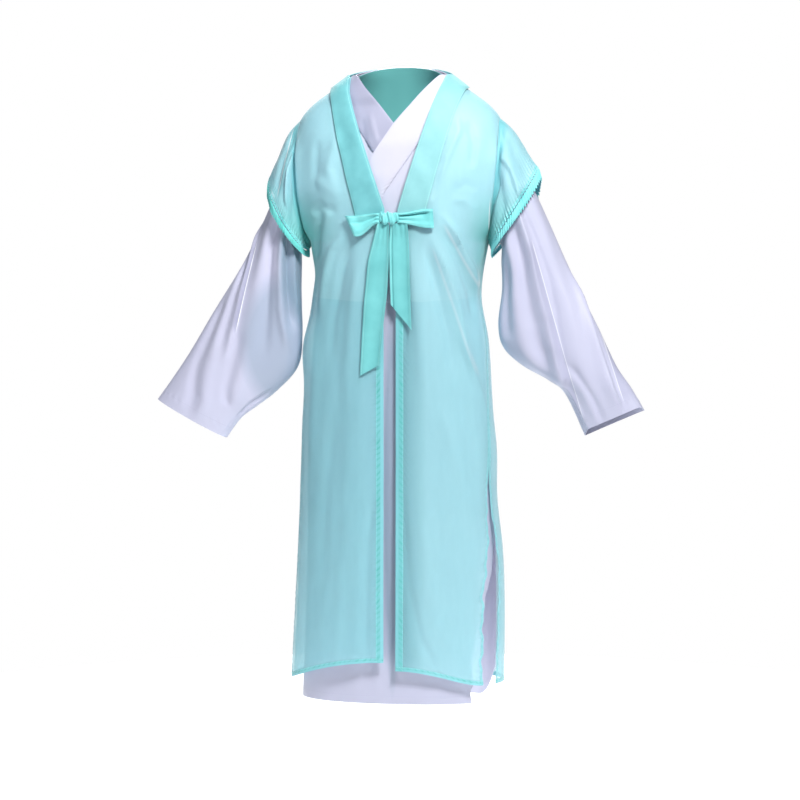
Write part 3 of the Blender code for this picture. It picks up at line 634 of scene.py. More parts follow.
def section(z, index):
    """One column of the sections at heights z, on a smooth curve through its rows."""
    rows, values = SECTIONS[:, 0], SECTIONS[:, index]
    places = np.arange(len(rows))
    before, after = np.maximum(places - 1, 0), np.minimum(places + 1, len(rows) - 1)
    slopes = (values[after] - values[before]) / (rows[after] - rows[before])
    lower = np.clip(np.searchsorted(-rows, -z), 1, len(rows) - 1)
    upper = lower - 1
    span = rows[lower] - rows[upper]
    t = np.clip((z - rows[upper]) / span, 0.0, 1.0)
    return curve(t, values[upper], slopes[upper] * span, values[lower], slopes[lower] * span)


def ease(value):
    """A smooth step from 0 to 1."""
    value = np.clip(value, 0.0, 1.0)
    return value * value * (3.0 - 2.0 * value)


def bell(value, width):
    """1 at 0, falling smoothly to 0 within about two widths."""
    return np.exp(-(value / width) ** 2)


def power(value, exponent):
    """A power that keeps the value's sign."""
    return np.sign(value) * np.abs(value) ** exponent


def half_sizes(angle, z, out):
    half = np.where(np.cos(angle) >= 0.0, section(z, LEFT), section(z, RIGHT))
    depth = np.where(np.sin(angle) >= 0.0, MID_Y - section(z, FRONT), section(z, BACK) - MID_Y)
    return half + out, depth + out, section(z, SQUARE)


def on_form(angle, z, out):
    """Points of the form."""
    half, depth, square = half_sizes(angle, z, out)
    return np.stack([half * power(np.cos(angle), 2.0 / square),
                     MID_Y - depth * power(np.sin(angle), 2.0 / square),
                     z + 0.0 * angle], axis=-1)


def outward(angle, z, out):
    """The form's outward directions."""
    turn, drop = math.radians(1.0), 0.002
    across = on_form(angle + turn, z, out) - on_form(angle - turn, z, out)
    down = on_form(angle, z - drop, out) - on_form(angle, z + drop, out)
    direction = np.cross(across, down)
    return direction / np.linalg.norm(direction, axis=-1, keepdims=True)


print(f"form {2000 * SECTIONS[:, LEFT].max():.0f} mm wide")

# %% Where edges run on the form
def front_angle(x, z, out):
    """The angle of the front's points that are x from the middle."""
    half, _, square = half_sizes(np.where(x >= 0.0, 0.0, math.pi), z, out)
    share = np.clip(np.abs(x) / half, 0.0, 1.0) * np.where(x >= 0.0, 1.0, -1.0)
    return np.arccos(power(share, square / 2.0))


def side_angle(reach, z, out, side, face):
    """The angle of the points that lie `reach` in front of or behind the side seam."""
    ahead = reach if face == "front" else -reach
    quarter = np.where(ahead >= 0.0, 1.0, -1.0) * math.pi / 2.0
    _, depth, square = half_sizes(quarter + 0.0 * z, z, out)
    step = np.sign(ahead) * np.arcsin(np.clip(np.abs(ahead) / depth, 0.0, 1.0) ** (square / 2.0))
    return step if side == "left" else math.pi - step


Armhole = namedtuple("Armhole", "top bottom half")
COAT_ARMHOLE = Armhole(-0.085, -0.318, 0.056)
ROBE_ARMHOLE = Armhole(-0.092, -0.298, 0.046)


def seam_reach(armhole, z):
    """How far a panel's side edge lies from the side: half a seam, or half the armhole's depth."""
    t = np.clip((armhole.top - z) / (armhole.top - armhole.bottom), 0.0, 1.0)
    return np.maximum(HALF_SEAM, armhole.half * (2.0 * np.sqrt(t * (1.0 - t))) ** 0.85)


def slit_reach(z, top, hem, width):
    """How far a slit's edge draws back from the side seam, in the waves that a free edge takes."""
    opened = ease((top - z) / (top - hem) * 1.25)
    wave = 0.0016 * np.sin(z * 95.0) + 0.0010 * np.sin(z * 210.0 + 1.0)
    return np.where(z < top, width * opened + wave * ease((top - z) * 12.0), 0.0)


def levels(top, bottom, step, armhole=None):
    """Heights from top to bottom, with more of them where an armhole's edge turns over."""
    rows = np.linspace(top, bottom, max(2, round((top - bottom) / step)))
    if armhole:
        turns = np.linspace(0.0, math.pi, 40)
        span = armhole.top - armhole.bottom
        rows = np.concatenate([rows, armhole.top - span * (1.0 - np.cos(turns)) / 2.0])
    rows = np.sort(np.unique(np.round(rows, 6)))[::-1]
    return rows[np.concatenate([[True], np.diff(rows) < -0.0004])]


print("edges ready")

# %% [markdown]
# ## Creases
#
# Cloth tells its story in creases: it is pulled from the bow to the armpits, drops from the
# shoulders, and puckers along every row of stitches. Each main crease is given as a line with a
# width and a height, where minus is a trough. One side can be made sharper than the other, as
# where a fold rolls over. A cloth simulation gives creases too, but not where we want them.

# %% Lift the cloth along crease lines
Crease = namedtuple("Crease", "path width height sharp")


def creases(text, sizes=MM):
    """Creases from lines of text: width and height in millimetres, sharpness, pairs of places."""
    made = []
    for line in text.splitlines():
        numbers = [float(word) for word in line.partition("#")[0].split()]
        if numbers:
            width, height, sharp, *places = numbers
            made.append(Crease(np.reshape(places, (-1, 2)) * sizes, width * MM, height * MM, sharp))
    return made


def crease_lift(x, y, drawn, ends=4.0):
    """How far creases lift points, given in the plane where the crease lines are drawn."""
    total = np.zeros(np.broadcast(x, y).shape)
    for crease in drawn:
        runs = crease.path[1:] - crease.path[:-1]
        sizes = np.hypot(runs[:, 0], runs[:, 1])
        gap = np.full(total.shape, np.inf)
        place, side, gone = np.zeros(total.shape), np.zeros(total.shape), 0.0
        for start, run, size in zip(crease.path, runs, sizes):
            t = np.clip(((x - start[0]) * run[0] + (y - start[1]) * run[1]) / size ** 2, 0.0, 1.0)
            dx, dy = x - start[0] - t * run[0], y - start[1] - t * run[1]
            near = np.hypot(dx, dy)
            closer = near < gap
            place = np.where(closer, gone + t * size, place)
            side = np.where(closer, np.sign(run[0] * dy - run[1] * dx), side)
            gap = np.minimum(gap, near)
            gone += size
        share = place / gone
        fade = ease(share * ends) * ease((1.0 - share) * ends)
        width = crease.width * np.where(side * crease.sharp > 0.0, 1.0 - abs(crease.sharp), 1.0)
        total += crease.height * fade * bell(gap, width)
    return total


def ripple(x, y, length, seed):
    """A soft irregular surface of about -1 to 1, whose waves are about `length` long."""
    dice = np.random.default_rng(seed)
    total = 0.0
    for _ in range(7):
        turn, phase = dice.uniform(0.0, WHOLE_TURN, 2)
        rate = WHOLE_TURN / (length * dice.uniform(0.7, 1.6))
        total = total + np.sin((x * math.cos(turn) + y * math.sin(turn)) * rate + phase)
    return total / 3.0


# The long soft folds that both garments share.
FRONT_FOLDS = creases("""
    16  2.8 0  78 -200  150 -560
    12 -2.6 0  115 -190  168 -420
    20  2.4 0  52 -330  120 -900
    18 -2.2 0  85 -520  110 -1240
    14  2.6 0  -120 -130  -135 -420
    18 -2.2 0  -85 -330  -110 -800
    20  2.4 0  -55 -450  -70 -1240
    18    2 0  -120 -700  -135 -1240
""")
BACK_FOLDS = creases("""
    16  2.6 0  120 -150  90 -500
    16  2.6 0  -110 -160  -85 -520
    22  2.8 0  40 -420  60 -1240
    22 -2.6 0  -35 -450  -50 -1240
    18 -2.2 0  110 -560  135 -1240
    18  2.4 0  -110 -560  -130 -1240
""")
print(f"{len(FRONT_FOLDS) + len(BACK_FOLDS)} long folds")

# %% Draw the garments' own creases
COAT_FRONT_CREASES = creases("""
    # wearer's left: from the bow's end and the armpit down and outwards
    7.5  3.6 -0.45  92 -258  120 -300  148 -372  160 -450
    6.5   -3     0  90 -282  118 -330  142 -408  152 -480
      7  3.4  -0.4  70 -290  100 -362  120 -430  138 -520  162 -620
      8 -3.4     0  62 -300  86 -400  108 -490  120 -600
     11  2.6     0  36 -290  46 -400  58 -530  62 -640
      6 -1.6     0  20 -320  26 -430  32 -540
      6  2.6  -0.4  118 -470  150 -560  172 -640
     12  2.4     0  90 -600  128 -740  150 -880
      9 -2.4     0  120 -560  145 -680  160 -800
     11   -3  0.35  22 -760  36 -960  60 -1060  110 -1160
     16  2.6     0  60 -820  78 -980  120 -1120
     11  2.4     0  140 -860  150 -1020  152 -1180
    # wearer's left: chest
      8  2.2   0.3  118 -70  126 -110  104 -165  86 -215
      7   -2     0  140 -85  152 -130  148 -185
    5.5 -1.8     0  100 -150  88 -200  78 -245
      8   -1     0  120 -222  142 -208  160 -222
      8    1     0  110 -235  140 -240  160 -262
    # wearer's right: from the bow and the armpit
     11  1.8     0  -92 -240  -122 -214  -160 -196
     10 -2.4   0.2  -100 -262  -134 -250  -156 -268
    8.5 -3.2     0  -128 -246  -146 -300  -152 -360
      9  3.2   0.3  -82 -292  -112 -330  -132 -400  -140 -470
      9 -2.6     0  -66 -300  -94 -370  -112 -460  -118 -560
     11  2.4     0  -50 -320  -72 -420  -84 -540  -86 -660
     10  2.2     0  -104 -110  -118 -180  -96 -236
      8 -1.8     0  -142 -120  -146 -180  -150 -230
    8.5 -2.6  -0.3  -28 -760  -46 -900  -48 -1060  -40 -1160
     13    2     0  -78 -620  -86 -780  -82 -940
     11 -2.2     0  -110 -620  -126 -800  -134 -1000
     12  2.2     0  -92 -860  -98 -1010  -104 -1180
     10  2.2     0  -145 -520  -156 -640  -160 -760
""")
COAT_BACK_CREASES = creases("""
    10 -2.8  0.2  -20 -120  -70 -220  -130 -300
    10 -2.8 -0.2  26 -130  78 -235  132 -310
     9    3    0  -150 -150  -120 -250  -128 -360
     9    3    0  150 -140  124 -240  134 -370
    10  3.2  0.3  -140 -330  -90 -430  -70 -600
    10  3.2 -0.3  145 -325  98 -440  80 -620
     9   -3    0  -155 -370  -120 -520  -112 -700
     9   -3    0  158 -380  128 -540  116 -720
    14    3    0  10 -300  -4 -520  6 -800  2 -1180
    13    3 0.25  70 -640  84 -860  88 -1180
    13   -3    0  -76 -620  -88 -840  -94 -1180
    12  2.8    0  -140 -600  -150 -860  -156 -1180
    12 -2.6    0  150 -620  154 -880  160 -1180
     9    2    0  -90 -100  -60 -150  -66 -210
     9    2    0  96 -96  64 -150  60 -220
""")
ROBE_FRONT_CREASES = creases("""
     6  1.6 0  60 -110  44 -170  20 -230
     6 -1.8 0  -62 -80  -50 -130  -40 -165
     5  1.4 0  -46 -72  -36 -110  -26 -140
    16  2.6 0  -60 -440  -52 -700  -58 -1200
    16 -2.4 0  50 -440  60 -740  66 -1200
    14  2.4 0  120 -460  128 -800  130 -1200
    10  1.6 0  -20 -1020  -30 -1100  -24 -1200
""")
ROBE_BACK_CREASES = creases("""
     9   -2 0  -120 -300  -80 -380  -60 -440
     9   -2 0  120 -300  80 -380  60 -440
    16  2.4 0  60 -440  70 -800  64 -1200
    16 -2.4 0  -70 -440  -80 -800  -76 -1200
    14    2 0  0 -440  4 -800  -4 -1200
""")
print(f"{len(COAT_FRONT_CREASES) + len(COAT_BACK_CREASES)} creases on the coat")

# %% [markdown]
# ## Making a sheet
#
# A sheet starts as a grid of points on its outer face. A second grid lies one cloth's thickness
# inside it, and the edges between them are closed, so each sheet is a real thin body. Blender's
# Solidify modifier would do this too, but then the two maps would have to be made after it.

# %% Close a grid into a thin sheet
SHARP_ANGLE = math.radians(65.0)    # steeper edges than this are shaded as creases


def facing_out(grid, tube, middle):
    """Directions across a grid of points, pointing away from the line `middle`."""
    if tube:
        around = np.roll(grid, -1, axis=1) - np.roll(grid, 1, axis=1)
    else:
        around = np.gradient(grid, axis=1)
    direction = np.cross(around, np.gradient(grid, axis=0))
    direction /= np.maximum(np.linalg.norm(direction, axis=-1, keepdims=True), 1e-12)
    return direction if np.sum(direction * (grid - middle)) >= 0.0 else -direction


def run_lengths(grid, axis, tube=False):
    """Distances along a grid from its first row or column, one more column round a tube."""
    if tube and axis == 1:
        grid = np.concatenate([grid, grid[:, :1]], axis=1)
    lengths = np.cumsum(np.linalg.norm(np.diff(grid, axis=axis), axis=-1), axis=axis)
    start = np.zeros_like(np.take(lengths, [0], axis=axis))
    return np.concatenate([start, lengths], axis=axis)


def sheet_faces(rows, columns, tube):
    """Corners of a sheet's faces, the same corners' rows and columns, and how many are outside."""
    cells, count = columns if tube else columns - 1, rows * columns

    def corner(r, c):
        return r * columns + c % columns

    r, c = (number.ravel() for number in np.indices((rows - 1, cells)))
    corners = [(r, c), (r, c + 1), (r + 1, c + 1), (r + 1, c)]
    skin = np.stack([corner(*spot) for spot in corners], axis=1)
    spots = np.stack([np.stack(spot, 1) for spot in corners], axis=1)
    faces, places = [skin, skin[:, ::-1] + count], [spots, spots[:, ::-1]]

    def close(r, c, down, across, turn):
        """Join both faces along the edge that runs from spots (r, c) to the next ones."""
        here, there = corner(r, c), corner(r + down, c + across)
        spot, beside = np.stack([r, c], 1), np.stack([r + down, c + across], 1)
        faces.append(np.stack([here, here + count, there + count, there], axis=1)[:, ::turn])
        places.append(np.stack([spot, spot, beside, beside], axis=1)[:, ::turn])

    along, down = np.arange(cells), np.arange(rows - 1)
    close(0 * along, along, 0, 1, 1)
    close(0 * along + rows - 1, along, 0, 1, -1)
    if not tube:
        close(down, 0 * down, 1, 0, -1)
        close(down, 0 * down + columns - 1, 1, 0, 1)
    return np.concatenate(faces), np.concatenate(places), len(skin)


def make_sheet(name, grid, material, tube=False, middle=(0.0, MID_Y, 0.0), wall=WALL):
    """A thin closed sheet on a grid of points, with its two maps in metres."""
    middle = np.asarray(middle, float)
    if middle.ndim == 1:
        middle = middle + grid * (0.0, 0.0, 1.0)
    inner = grid - facing_out(grid, tube, middle) * wall
    faces, places, outside = sheet_faces(*grid.shape[:2], tube)
    points = np.concatenate([grid.reshape(-1, 3), inner.reshape(-1, 3)])
    a, b, c, d = (points[faces[:outside, corner]] for corner in range(4))
    away = a - inner.reshape(-1, 3)[faces[:outside, 0]]
    if np.sum(np.cross(b - a, d - a) * away) < 0.0:
        faces, places = faces[:, ::-1], places[:, ::-1]
    mesh = bpy.data.meshes.new(name)
    mesh.from_pydata(points.tolist(), [], faces.tolist())
    across, down = run_lengths(grid, 1, tube), run_lengths(grid, 0)
    if tube:
        down = np.concatenate([down, down[:, :1]], axis=1)
    row, column = places.reshape(-1, 2).T
    maps = {"cut": (across, down), "rest": (across[:, -1:] - across, down[-1:] - down)}
    for layer, (u, v) in maps.items():
        values = np.stack([u[row, column], v[row, column]], axis=-1)
        mesh.uv_layers.new(name=layer).data.foreach_set("uv", values.astype(np.float32).ravel())
    mesh.shade_smooth()
    mesh.set_sharp_from_angle(angle=SHARP_ANGLE)
    mesh.materials.append(material)
    scene.collection.objects.link(bpy.data.objects.new(name, mesh))
    area = 0.5 * np.linalg.norm(np.cross(c - a, d - b), axis=1).sum()
    print(f"{name}: {len(faces) * 2} triangles, {across.max():.3f} x {down.max():.3f} m, {area:.4f} m2")


# %% Lay a panel's rows on the form
def stations(length, first, last, cells):
    """Distances across a row of each length: fine near its two edges, even between them."""
    first, last = np.array(first, float), np.array(last, float)
    squeeze = np.minimum(1.0, length / (1.4 * (first[-1] + last[-1]) + 1e-9))[:, None]
    start, end = first * squeeze, length[:, None] - last[::-1] * squeeze
    share = np.linspace(0.0, 1.0, cells + 1)[1:-1]
    between = start[:, -1:] + (end[:, :1] - start[:, -1:]) * share
    return np.concatenate([start, between, end], axis=1)


def rows_on_form(z, start, end, out, first, last, cells):
    """Angles and heights of a panel's grid, and distances to its first and its last edge."""
    share = np.linspace(0.0, 1.0, 161)
    fine = start[:, None] + (end - start)[:, None] * share
    gone = run_lengths(on_form(fine, z[:, None] + 0.0 * fine, out), 1)
    near = stations(gone[:, -1], first, last, cells)
    angles = np.array([np.interp(want, have, line) for want, have, line in zip(near, gone, fine)])
    return angles, z[:, None] + 0.0 * angles, near, gone[:, -1:] - near


PLACKET = [0.0, 0.0015, 0.003, 0.005, 0.007, 0.009, 0.011, 0.0125, 0.014, 0.0155, 0.0175, 0.020,
           0.023, 0.027, 0.032, 0.038]
PLAIN_EDGE = [0.0, 0.002, 0.004, 0.0065, 0.009, 0.012, 0.016]


def body_lift(points, front_creases, back_creases, ends=4.0):
    """How far creases lift the front's points and the back's."""
    x, z = points[..., 0], points[..., 2]
    return np.where(points[..., 1] < MID_Y, crease_lift(x, z, front_creases, ends),
                    crease_lift(x, z, back_creases, ends))


def shared_folds(points):
    """The long folds of both garments, less where the body turns to its sides."""
    depth = np.minimum(1.0, np.abs(points[..., 1] - MID_Y) / 0.05)
    return depth * body_lift(points, FRONT_FOLDS, BACK_FOLDS, 5.0)


def side_fade(points):
    """1 on the front and back, falling to 0 at the side seams."""
    return ease((np.abs(points[..., 1] - MID_Y) - 0.012) / 0.045)


print("panels ready")

# %% [markdown]
# ## The coat's fronts
#
# Each front is cut in one piece from the shoulder to the hem. Its opening edge is turned under
# 15 mm and stitched, which puckers the voile beside the stitches, and at the armhole the cloth
# rolls outwards a little before it dives into the seam. The grid is fine along those edges and
# wide elsewhere, which spends the points where something happens.

# %% Shape the coat's cloth
# pairs of height and x of the opening edge
COAT_EDGES = {
    "left": [(0.0, 0.0915), (-0.020, 0.087), (-0.255, 0.0160), (-0.300, 0.0110), (-1.200, 0.0110)],
    "right": [(0.0, 0.0915), (-0.035, 0.087), (-0.255, 0.0090), (-0.300, 0.0120), (-1.200, 0.0120)]}
COAT_SLITS = {"left": 0.0, "right": 0.008}
CORNER_RISE = {"left": 0.030, "right": 0.045}
NECK_RISE = 0.0225
BACK_CREASES_DEEPER = 1.3
# rows of puckers: how far from the edge, width, pitch, slant, height and seed
PUCKERS = {
    "left placket": (0.017, 0.0085, 0.0125, 1.9, 0.0009, 11),
    "right placket": (0.014, 0.0075, 0.0085, 0.35, 0.0007, 12),
    "front hem": (0.010, 0.0070, 0.0110, 0.9, 0.0006, 13),
    "front slit": (0.008, 0.0060, 0.0140, 0.6, 0.0008, 14),
    "back hem": (0.010, 0.0070, 0.0160, 0.9, 0.0006, 21),
    "back slit": (0.008, 0.0060, 0.0180, 0.6, 0.0010, 22),
    "robe collar": (0.003, 0.0070, 0.0085, 0.8, 0.0012, 43),
    "front waist": (0.004, 0.010, 0.022, 0.2, 0.0006, 51),
    "back waist": (0.004, 0.010, 0.022, 0.2, 0.0006, 52),
    "cuff": (0.0215, 0.0050, 0.0150, 0.3, 0.0006, 62)}
# The left side seam swings to the front on its way down, so its slit shows: pairs of height and
# how far each edge lies in front of the side.
LEFT_FRONT = [(-0.400, 0.0), (-0.560, 0.022), (-0.743, 0.046), (-0.800, 0.052), (-0.872, 0.056),
              (-0.930, 0.063), (-0.980, 0.069), (-1.160, 0.072)]
LEFT_BACK = [(-0.400, 0.0), (-0.560, 0.022), (-0.743, 0.0455), (-0.790, 0.0420), (-0.836, 0.0400),
             (-0.930, 0.0310), (-1.026, 0.0370), (-1.160, 0.0430)]


def edge_at(edge, z):
    """The place of an edge at heights z."""
    heights, places = np.transpose(edge)
    return np.interp(-z, -heights, places)


def free_edge(z):
    """The waves that an edge takes below the slit's top."""
    return (0.0014 * np.sin(z * 95.0) + 0.0009 * np.sin(z * 210.0 + 1.0)) * ease((COAT_SLIT - z) * 12.0)


def coat_lift(points):
    """How far the coat's cloth rises from the form."""
    x, z = points[..., 0], points[..., 2]
    deeper = np.where(points[..., 1] < MID_Y, 1.0, BACK_CREASES_DEEPER)
    own = (1.35 + 0.9 * bell(z + 0.360, 0.110)) * deeper * body_lift(
        points, COAT_FRONT_CREASES, COAT_BACK_CREASES)
    fine = ripple(x, z * 0.6, 0.050, 5) * 0.00045
    right_side = 0.0085 * bell(z + 0.520, 0.050) - 0.0050 * bell(z + 0.380, 0.032)
    left_side = 0.0075 * bell(z + 0.800, 0.075)
    sides = ease((-0.125 - x) / 0.045) * right_side - ease((x - 0.150) / 0.035) * left_side
    return shared_folds(points) + side_fade(points) * (own + fine) + sides


def armhole_roll(z, distance, height):
    """The cloth rolls outwards beside the armhole's seam."""
    share = ease((-0.105 - z) / 0.060) * ease((z + 0.325) / 0.040)
    return height * share * (1.0 - bell(distance, 0.0035)) * bell(distance, 0.019)


def puckers(distance, along, row):
    """Small waves across a row of stitches, stronger in some places than in others."""
    at, width, pitch, slant, height, seed = PUCKERS[row]
    wander = ripple(along, 0.0 * along, 0.045, seed)
    strength = 0.65 + 0.35 * ripple(along, 0.0 * along, 0.080, seed + 1)
    waves = np.cos(WHOLE_TURN * (along + slant * distance) / pitch + 1.6 * wander)
    return height * bell(distance - at, width) * strength * waves


def below_slit(heights):
    """0 above the coat's slits and 1 below them."""
    return ease((COAT_SLIT + 0.020 - heights) * 20.0)


def lay(angles, heights, out, own_lift, more):
    """Points on the form, lifted by the garment's own creases and by something more."""
    base = on_form(angles, heights, out)
    return base + outward(angles, heights, out) * (own_lift(base) + more)[..., None]


def coat_front(side):
    z = levels(COAT_TOP, COAT_HEM, 0.0027, COAT_ARMHOLE)
    reach = np.maximum(seam_reach(COAT_ARMHOLE, z), slit_reach(z, COAT_SLIT, COAT_HEM, COAT_SLITS[side]))
    if side == "left":
        reach = np.maximum(reach, edge_at(LEFT_FRONT, z) + free_edge(z))
    start = front_angle(SIGN[side] * edge_at(COAT_EDGES[side], z), z, COAT)
    end = side_angle(reach, z, COAT, side, "front")
    angles, heights, near, far = rows_on_form(z, start, end, COAT, PLACKET, PLAIN_EDGE, 30)
    inwards = (angles - end[:, None]) / (start - end)[:, None]
    heights = heights + CORNER_RISE[side] * ease(inwards) * ease((-0.900 - heights) / 0.250)
    below_bow = ease((-0.290 - heights) * 40.0)
    lift = (armhole_roll(heights, far, 0.0085)
            + puckers(near, heights, f"{side} placket") * below_bow
            + puckers(heights - heights[-1:], near, "front hem")
            + puckers(far, heights, "front slit") * below_slit(heights))
    return lay(angles, heights, COAT, coat_lift, lift)


for side in SIGN:
    make_sheet(f"coat_front_{side}_voile", coat_front(side), voile_front[side])

# %% [markdown]
# ## The coat's back
#
# The back is one panel without a middle seam. It stands up a little at the neck, and its creases
# run from the armholes towards the waist and then straight down.

# %% Hang the back
def back_grid(z, out, armhole, cells, slits=None, edge=PLAIN_EDGE):
    """Angles and heights of a back panel, from the wearer's right round to the left."""
    reach = seam_reach(armhole, z)
    slits = slits or {"left": reach, "right": reach}
    start = side_angle(np.maximum(reach, slits["right"]), z, out, "right", "back")
    left = np.where(slits["left"] < 0.0, slits["left"], np.maximum(reach, slits["left"]))
    end = WHOLE_TURN + side_angle(left, z, out, "left", "back")
    angles, heights, near, far = rows_on_form(z, start, end, out, edge, edge, cells)
    rise = NECK_RISE * ease((heights + 0.030) / 0.030)
    return angles, heights + rise * np.abs(np.sin(angles)), near, far


def coat_back():
    z = levels(COAT_TOP, COAT_HEM, 0.0042, COAT_ARMHOLE)
    slits = {side: slit_reach(z, COAT_SLIT, COAT_HEM, width) for side, width in COAT_SLITS.items()}
    ahead = edge_at(LEFT_BACK, z)
    slits["left"] = np.where(ahead > SEAM, 0.8 * free_edge(z + 0.013) - ahead, slits["left"])
    angles, heights, near, far = back_grid(z, COAT, COAT_ARMHOLE, 60, slits)
    edge = np.minimum(near, far)
    lift = (armhole_roll(heights, edge, 0.0035)
            + puckers(heights - COAT_HEM, near, "back hem")
            + puckers(edge, heights, "back slit") * below_slit(heights))
    return lay(angles, heights, COAT, coat_lift, lift)


make_sheet("coat_back_voile", coat_back(), voile_back)

# %% [markdown]
# ## The coat's band
#
# One long band runs round the neck and down both fronts to the tie. It is doubled cloth, so it
# lies above the voile and is slightly padded. On the wearer's right a fine painted shadow runs
# along its outer seam.

# %% Lay a band on its panel
BAND_SEAM = [(0.0, 0.140), (-0.030, 0.129), (-0.060, 0.120), (-0.265, 0.0660)]
BAND_END, BACK_BAND_END = -0.276, -0.029
BAND_EDGE = [0.0, 0.0007, 0.0018, 0.0035, 0.006]


def band_lift(z):
    """A band lies on its panel, a little higher where it bends over the shoulder."""
    return SOLID_WALL + 0.0008 + 0.0019 * ease((z + 0.070) / 0.030)


def padding(near, far, height):
    """A doubled band is thickest inside its edges."""
    edge = np.minimum(near, far)
    return height * (1.0 - bell(edge, 0.0022)) - 0.25 * height * bell(edge - 0.0045, 0.001)


def band_grid(z, edge, seam, side, out, cells):
    """Angles and heights of a band, from its seam to its free edge."""
    half, _, _ = half_sizes(np.full(z.shape, 0.0 if side == "left" else math.pi), z, out)
    seam_x = edge_at(seam, z)
    ridge = side_angle(np.full(z.shape, HALF_SEAM), z, out, side, "front")
    start = np.where(np.abs(seam_x) < half - 0.001, front_angle(SIGN[side] * seam_x, z, out), ridge)
    end = front_angle(SIGN[side] * edge_at(edge, z), z, out)
    return rows_on_form(z, start, end, out, BAND_EDGE, BAND_EDGE, cells)


def coat_band(side):
    z = levels(COAT_TOP, BAND_END, 0.0030)
    angles, heights, near, far = band_grid(z, COAT_EDGES[side], BAND_SEAM, side, COAT, 18)
    x, _, z = np.moveaxis(on_form(angles, heights, COAT), -1, 0)
    drape = ripple(x + z * 0.5, z * 0.5, 0.045, 31) * 0.0004
    # the edge beside the neck stands up, so each band is tilted away from the middle
    tilted = ease((heights + 0.262) / 0.060) * ease((-0.008 - heights) / 0.050)
    tilt = 0.0050 * ease(near / (near + far)) * tilted
    lift = band_lift(heights) + padding(near, far, 0.0009) + drape + tilt
    return lay(angles, heights, COAT, coat_lift, lift)


def band_round_neck(out, armhole, own_lift, cells):
    z = levels(COAT_TOP, BACK_BAND_END, 0.0022)
    angles, heights, *_ = back_grid(z, out, armhole, cells, edge=[0.0, 0.002])
    edge = np.minimum(heights - heights[-1:], heights[:1] - heights)
    return lay(angles, heights, out, own_lift, band_lift(heights) + padding(edge, edge, 0.0008))


for side in SIGN:
    make_sheet(f"coat_band_{side}_cloth", coat_band(side), band_cloth[side], wall=BAND_WALL)
neck_band = band_round_neck(COAT, COAT_ARMHOLE, coat_lift, 60)
make_sheet("coat_band_back_cloth", neck_band, band_cloth["left"], wall=BAND_WALL)

# %% [markdown]
# ## The white robe
#
# The robe wraps left over right. The under front is tucked in by a few millimetres so the two
# layers don't touch, and each front carries a wide collar that shows inside the coat's band. The
# skirt hangs from a waist seam, narrows a little towards its hem and is slit at both sides.

# %% Shape the robe's cloth
# pairs of height and x, of each front's opening edge and of its collar's seam
ROBE_EDGES = {
    "left": [(0.0, 0.0820), (-0.096, 0.0020), (-0.160, -0.0400), (-0.250, -0.0850),
             (-0.330, -0.1050), (-0.450, -0.1120)],
    "right": [(0.0, 0.0820), (-0.096, -0.0020), (-0.160, -0.0440), (-0.250, -0.0700),
              (-0.330, -0.0800), (-0.450, -0.0850)]}
ROBE_SEAMS = {
    "left": [(0.0, 0.140), (-0.036, 0.118), (-0.154, 0.0365), (-0.224, -0.0115),
             (-0.330, -0.0480), (-0.450, -0.0560)],
    "right": [(0.0, 0.140), (-0.036, 0.118), (-0.154, 0.0330), (-0.224, -0.0120),
              (-0.330, -0.0240), (-0.450, -0.0290)]}
ROBE_FRONT_SLITS = {"left": 0.070, "right": 0.014}
ROBE_BACK_SLITS = {"left": 0.010, "right": 0.010}
TUCK, TAPER, ROBE_CORNER_RISE = 0.0075, 0.009, 0.062
WAIST_TOP, WAIST_BOTTOM = WAIST + HALF_SEAM, WAIST - HALF_SEAM
FACING_END, FACING_IN = -0.150, -SOLID_WALL - SEAM


def robe_lift(points):
    """How far the robe's cloth rises from its form."""
    fine = ripple(points[..., 0], points[..., 2] * 0.5, 0.060, 41) * 0.0003
    own = body_lift(points, ROBE_FRONT_CREASES, ROBE_BACK_CREASES)
    return shared_folds(points) + side_fade(points) * (own + fine)


def tucked(angles, heights, side):
    """How far the under front is pushed in, none at its shoulder and side."""
    x = on_form(angles, heights, ROBE)[..., 0]
    push = TUCK * ease((x + 0.150) / 0.040) * ease((-0.030 - heights) / 0.040)
    return push if side == "right" else 0.0 * push


def tapered(angles, heights):
    """How far the skirt draws in from the coat."""
    x = on_form(angles, heights, ROBE)[..., 0]
    return TAPER * (1.0 - x * 1.7) * ease((-0.550 - heights) / 0.600)


def robe_front(side):
    z = levels(COAT_TOP, WAIST_TOP, 0.0042, ROBE_ARMHOLE)
    start = front_angle(SIGN[side] * edge_at(ROBE_EDGES[side], z), z, ROBE)
    end = side_angle(seam_reach(ROBE_ARMHOLE, z), z, ROBE, side, "front")
    angles, heights, _, far = rows_on_form(z, start, end, ROBE, PLAIN_EDGE, PLAIN_EDGE, 34)
    out = ROBE - tucked(angles, heights, side)
    return lay(angles, heights, out, robe_lift, armhole_roll(heights, far, 0.0015))


def robe_collar(side):
    z = levels(COAT_TOP, WAIST_TOP, 0.0030)
    angles, heights, near, far = band_grid(z, ROBE_EDGES[side], ROBE_SEAMS[side], side, ROBE, 16)
    soft = ripple(heights, angles * 0.05, 0.035, 44) * 0.0003
    lift = band_lift(heights) + padding(near, far, 0.0007) + puckers(near, heights, "robe collar") + soft
    return lay(angles, heights, ROBE - tucked(angles, heights, side), robe_lift, lift)


def robe_back(bottom, cells, lift):
    """The back of the bodice, or the facing that lies inside its top."""
    z = levels(COAT_TOP, bottom, 0.0046, ROBE_ARMHOLE)
    angles, heights, *_ = back_grid(z, ROBE, ROBE_ARMHOLE, cells)
    return lay(angles, heights, ROBE, robe_lift, lift)


